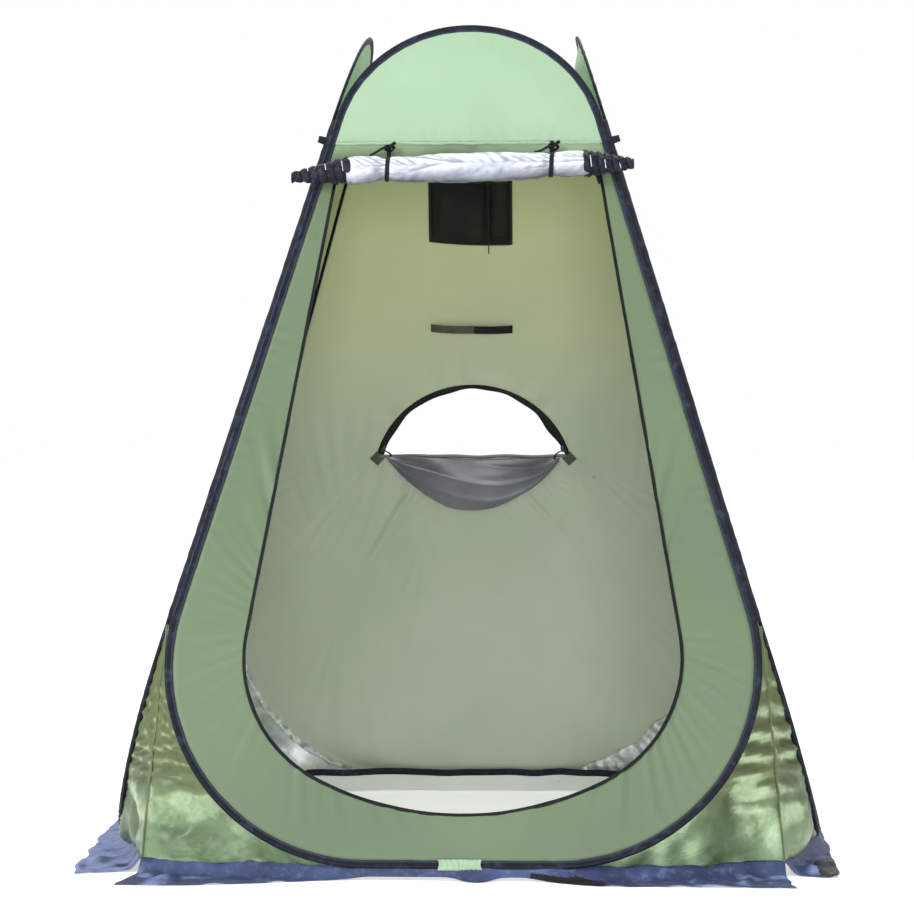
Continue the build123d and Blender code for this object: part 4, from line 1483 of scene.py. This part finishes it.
# ---- Window flap, patches, pocket and strap ----
def window_flap():
    """The cover dropped inside: it hangs from the sill, bellied, and its round edge is turned up behind."""
    rows, cols = 60, 120
    x = np.linspace(-1, 1, cols)[None]
    v = np.linspace(0, 1, rows)[:, None]
    top = WINDOW_SILL - 0.0025 - 0.006 * blob(x, 0.0, 0.6) + 0.003 * x
    drop = (FLAP_DROP + 0.0005) * (1 - np.abs(x) ** 2.2) * (1 + 0.05 * drift(44, x, 0.9)) + 0.004
    down = np.minimum(v / FLAP_FALL, 1)
    back = np.maximum(v - FLAP_FALL, 0) / (1 - FLAP_FALL)
    s = top - drop * (down - 0.34 * back)
    u = x * FLAP_HALF
    belly = np.sin(pi * down**0.8) * 0.0035
    fold = 0.0024 * crease(ripple(45, x * 0.10 + v * 0.02, v * 0.16, 0.085, 1.25, 0.45))
    fold = fold * ramp(down, 0.0, 0.3)
    hang = 0.0026 * ripple(46, x * 0.18, v * 0.12, 0.10, 1.0, 0.6)
    n = FLAP_N + 0.008 - 0.011 * ramp(down, 0.0, 0.35) - belly - (fold + hang) * (1 - back)
    n = n + 0.0065 * ramp(back, 0.0, 0.25) + 0.001 * back
    p = place("back", u + FITTINGS_U, s, n)
    uv = stacked(u, s)
    obj = shell("window_cover_cloth", p[::-1], SATIN_THICK, uv=uv[::-1])
    dress(obj, ["flap", "flap"], "window_flap", ["window_flap"])
    return (obj, area_of(window_outline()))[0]


def window_patch(hand):
    """A square of olive cloth set askew over the zip's end."""
    name = BACK_NAMES[hand]
    u0, s0 = hand * (WINDOW_HALF + 0.002) + FITTINGS_U, WINDOW_SILL - 0.008
    g = np.linspace(-1, 1, 15)
    x, y = np.meshgrid(g * PATCH_HALF, g * PATCH_HALF)
    tilt = radians(PATCH_TILT * hand)
    u = u0 + x * cos(tilt) - y * sin(tilt)
    s = s0 + x * sin(tilt) + y * cos(tilt)
    n = -0.0020 + 0.0004 * ripple(55 + hand, x, y, 0.02)
    p = place("back", u, s, n)
    obj = shell(f"window_patch_{name}_cloth", p, CLOTH_THICK, uv=np.stack((x, y), -1))
    return dress(obj, ["olive", "olive"], "back", [f"window_patch_{name}"])


def pocket():
    """The net pocket: its pouch bellies out, its floor sags, and tape binds its two sides and its mouth."""
    low, top = POCKET_LOW - 0.001, POCKET_TOP
    x = np.linspace(-1, 1, 70)[None]
    v = np.linspace(0, 1, 46)[:, None]
    u = POCKET_HALF * x
    split = blob(u, POCKET_DIVIDER, 0.010)
    bottom = low - 0.012 + 0.008 * (x + 1) * 0.5 - 0.004 * (1 - x**2)
    s = bottom + (top - bottom) * v
    deep = POCKET_DEEP * (1 - np.abs(x) ** 5) ** 0.5
    swell = deep * (0.50 + 0.40 * np.sin(pi * v**0.8)) * ramp(v, 0.0, 0.16) * (1 - 0.75 * split)
    n = -0.0028 - swell + 0.0008 * ripple(58, u, s, 0.05, 0.1, 0.4)
    p = place("back", u + FITTINGS_U, s, n)
    uv = stacked(u, s)
    obj = shell("pocket_net_cloth", p, THIN_CLOTH, uv=uv)
    dress(obj, ["net", "net"], "back", ["pocket_mesh"])
    parts = []
    for k, column in enumerate((0, -1)):
        path, _ = spaced(p[:, column], 40)
        path = path - outward("back") * 0.0008
        parts.append(ribbon(f"bind_{k}", path, (1.0, 0, 0), 0.010, FOLDED_TAPE_THICK))
    mouth, _ = spaced(p[-1], 60)
    way = up_wall("back")
    parts.append(ribbon("bind_mouth", mouth - way * 0.004, way, 0.009, FOLDED_TAPE_THICK))
    foot, _ = spaced(p[0], 60)
    parts.append(ribbon("bind_foot", foot, way, 0.003, STRAP_THICK))
    column = int(np.abs(u[0] - POCKET_DIVIDER).argmin())
    seam, _ = spaced(p[:, column], 40)
    tail = seam[0] - way * 0.022 - outward("back") * 0.001
    parts.append(ribbon("bind_seam", np.vstack((seam[::-1], tail)), (1.0, 0, 0), 0.0022, STRAP_THICK))
    binding = join("pocket_edge_tape", parts)
    dress(binding, ["tape"], "back", ["pocket_binding"])


def towel_strap(hand):
    """Half of the hanging strap, sewn down at its outer end and lapped on the other in the middle."""
    name = BACK_NAMES[hand]
    t = np.linspace(0, 1, 40)
    u = hand * (STRAP_HALF + 0.001) * (1 - t) - hand * 0.006 * t + FITTINGS_U
    bulge = np.sin(pi * np.minimum(t, 0.999) / 2) ** 0.45
    n = -0.0025 - (STRAP_GAP - 0.001) * bulge - 0.0008 * (hand > 0) * t
    s = STRAP_S + 0.0016 * hand * (1 - t) - 0.001 * np.sin(pi * t)
    path = place("back", u, s, n)
    obj = ribbon(f"towel_strap_{name}_webbing", path, up_wall("back"), STRAP_HEIGHT, STRAP_THICK)
    return dress(obj, ["olive" if hand > 0 else "webbing"], "back", [f"towel_strap_{name}"])


def back_hem():
    """The tape sewn inside the back wall's foot and on along the corners' hems."""
    x = np.linspace(-HEM_HALF, HEM_HALF, 260)
    inward = BASE / 2 - hem_line(x)
    z = HOOP_FOOT + 0.025 + 0.0020 * drift(12, x, 0.16)
    depth = BASE / 2 - 0.019 - inward + 0.0015 * drift(13, x, 0.09)
    path = np.stack((x, depth, z), -1)
    lean = (0.0, -tan(LEAN), 1.0)
    facing = ribbon("back_hem_facing", path - (0, -0.005, 0.027), lean, 0.042, 0.0012)
    squash_flat(dress(facing, ["facing"], "back"), "back")
    obj = ribbon("back_hem_tape", path, lean, 0.022, 0.0026)
    dress(obj, ["binding"], "back", ["back_hem"])
    return squash_flat(obj, "back")


def hoop_patch():
    """The crumpled patch folded over the front hoop where its wire is joined."""
    x = np.linspace(-JOIN_PATCH_HALF, JOIN_PATCH_HALF, 70)[:, None]
    a = np.linspace(-0.80 * pi, 0.80 * pi, 40)[None]
    wrinkle = crease(ripple(66, x, a * 0.008, 0.020, 0.3, 0.9))
    s = 0.0095 - (0.0130 + 0.0006 * wrinkle) * np.cos(a)
    n = (0.0062 + 0.0011 * wrinkle) * squarish(np.sin(a), 0.6)
    u = x + 0.0015 * np.sin(a * 3) * np.sign(x)
    p = place("front", u, s, n)
    uv = stacked(x, a * 0.01)
    obj = shell("front_join_patch_cloth", p, THIN_CLOTH, uv=uv)
    return dress(obj, ["peak", "peak"], "front", ["front_hoop_patch"])


def hoop_tab(side, hand):
    """A loop of webbing that stands out of a side hoop at roof height, its flat to the front."""
    edge = FOOT_HALF - SEAM * tan(EDGE) - BINDING_WIDTH / 2
    t = np.linspace(-1, 1, 44)
    n = 0.0175 * (1 - np.abs(t) ** 2.6)
    u = hand * edge + 0.0022 * np.sign(t) * (1 - (1 - np.abs(t)) ** 4)
    path = place(side, u, SEAM + 0.006 + 0.002 * t, n + 0.0008)
    obj = ribbon(f"hoop_tab_{side}_loop", path, up_wall(side), 0.0140, 0.0026)
    return dress(obj, ["webbing"], side, [f"hoop_tab_{side}"])


# ---- Build ----
def build():
    for number, side in enumerate(SIDES):
        hoop_sleeve(side, 100 + 10 * number)
        skirt(side)
        wall(side)
        peak(side, 200 + 10 * number)
        seam_cord(side)
        roof_cloth(side)
        for part, finish in (("wire", "steel"), ("ferrule", "zinc")):
            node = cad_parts[f"{side}_{part}"]
            node.data.materials.clear()
            node.data.materials.append(MATERIALS[finish])
    corner_tapes()
    gussets()
    rolled_door()
    door_zip()
    window_zip()
    window_hem()
    window_flap()
    pocket()
    back_hem()
    for hand in (-1, 1):
        corner_lining("back", hand)
    hoop_patch()
    for hand in (-1, 1):
        roll_spiral(hand)
        door_tie(hand)
        door_slider(hand)
        window_slider(hand)
        window_patch(hand)
        towel_strap(hand)
    hoop_tab("left", 1)
    hoop_tab("right", -1)


build()


# ---- Floor, light and camera ----
def studio():
    g = Graph("floor_pale")
    where = g.add("TexCoord", {}).outputs["Object"]
    tone = g.mix(g.span(g.noise(where, 0.6), 0.3, 0.7, 0.0, 1.0), srgb(214, 214, 214), srgb(218, 218, 218))
    inputs = {"Base Color": tone, "Roughness": 0.85, "Emission Color": WHITE, "Emission Strength": 0.5}
    paint = g.finish(g.add("BsdfPrincipled", inputs).outputs[0])
    far = FLOOR_HALF
    corners = [(-far, -far, 0), (far, -far, 0), (far, far, 0), (-far, far, 0)]
    floor = mesh_object("floor", corners, [(0, 1, 2, 3)])
    floor.data.materials.append(paint)

    world = bpy.data.worlds.new("studio")
    world.use_nodes = True
    background = world.node_tree.nodes["Background"]
    background.inputs[0].default_value = WHITE
    background.inputs[1].default_value = 1.0
    bpy.context.scene.world = world
    bpy.context.scene.view_settings.view_transform = "Standard"

    def panel(name, at, toward, width, power):
        data = bpy.data.lights.new(name, "AREA")
        data.energy = power
        data.size = width
        light = bpy.data.objects.new(name, data)
        light.location = at
        light.rotation_euler = (Vector(toward) - Vector(at)).to_track_quat("-Z", "Y").to_euler()
        bpy.context.scene.collection.objects.link(light)

    panel("key", (-4.6, -4.4, 3.6), (0, 0, 0.9), 1.2, 230)
    panel("front", (0.6, -8.6, 1.3), (0, 0, 0.8), 2.4, 300)
    panel("top", (0.5, 1.5, 5.5), (0, 0, 1.4), 3.0, 120)


def camera():
    data = bpy.data.cameras.new("camera")
    data.lens = CAMERA_LENS
    data.sensor_width = CAMERA_SENSOR
    view = bpy.data.objects.new("camera", data)
    view.location = CAMERA_AT
    view.rotation_euler = Euler(CAMERA_TURN)
    bpy.context.scene.collection.objects.link(view)
    bpy.context.scene.camera = view


studio()
camera()
bpy.context.view_layer.update()
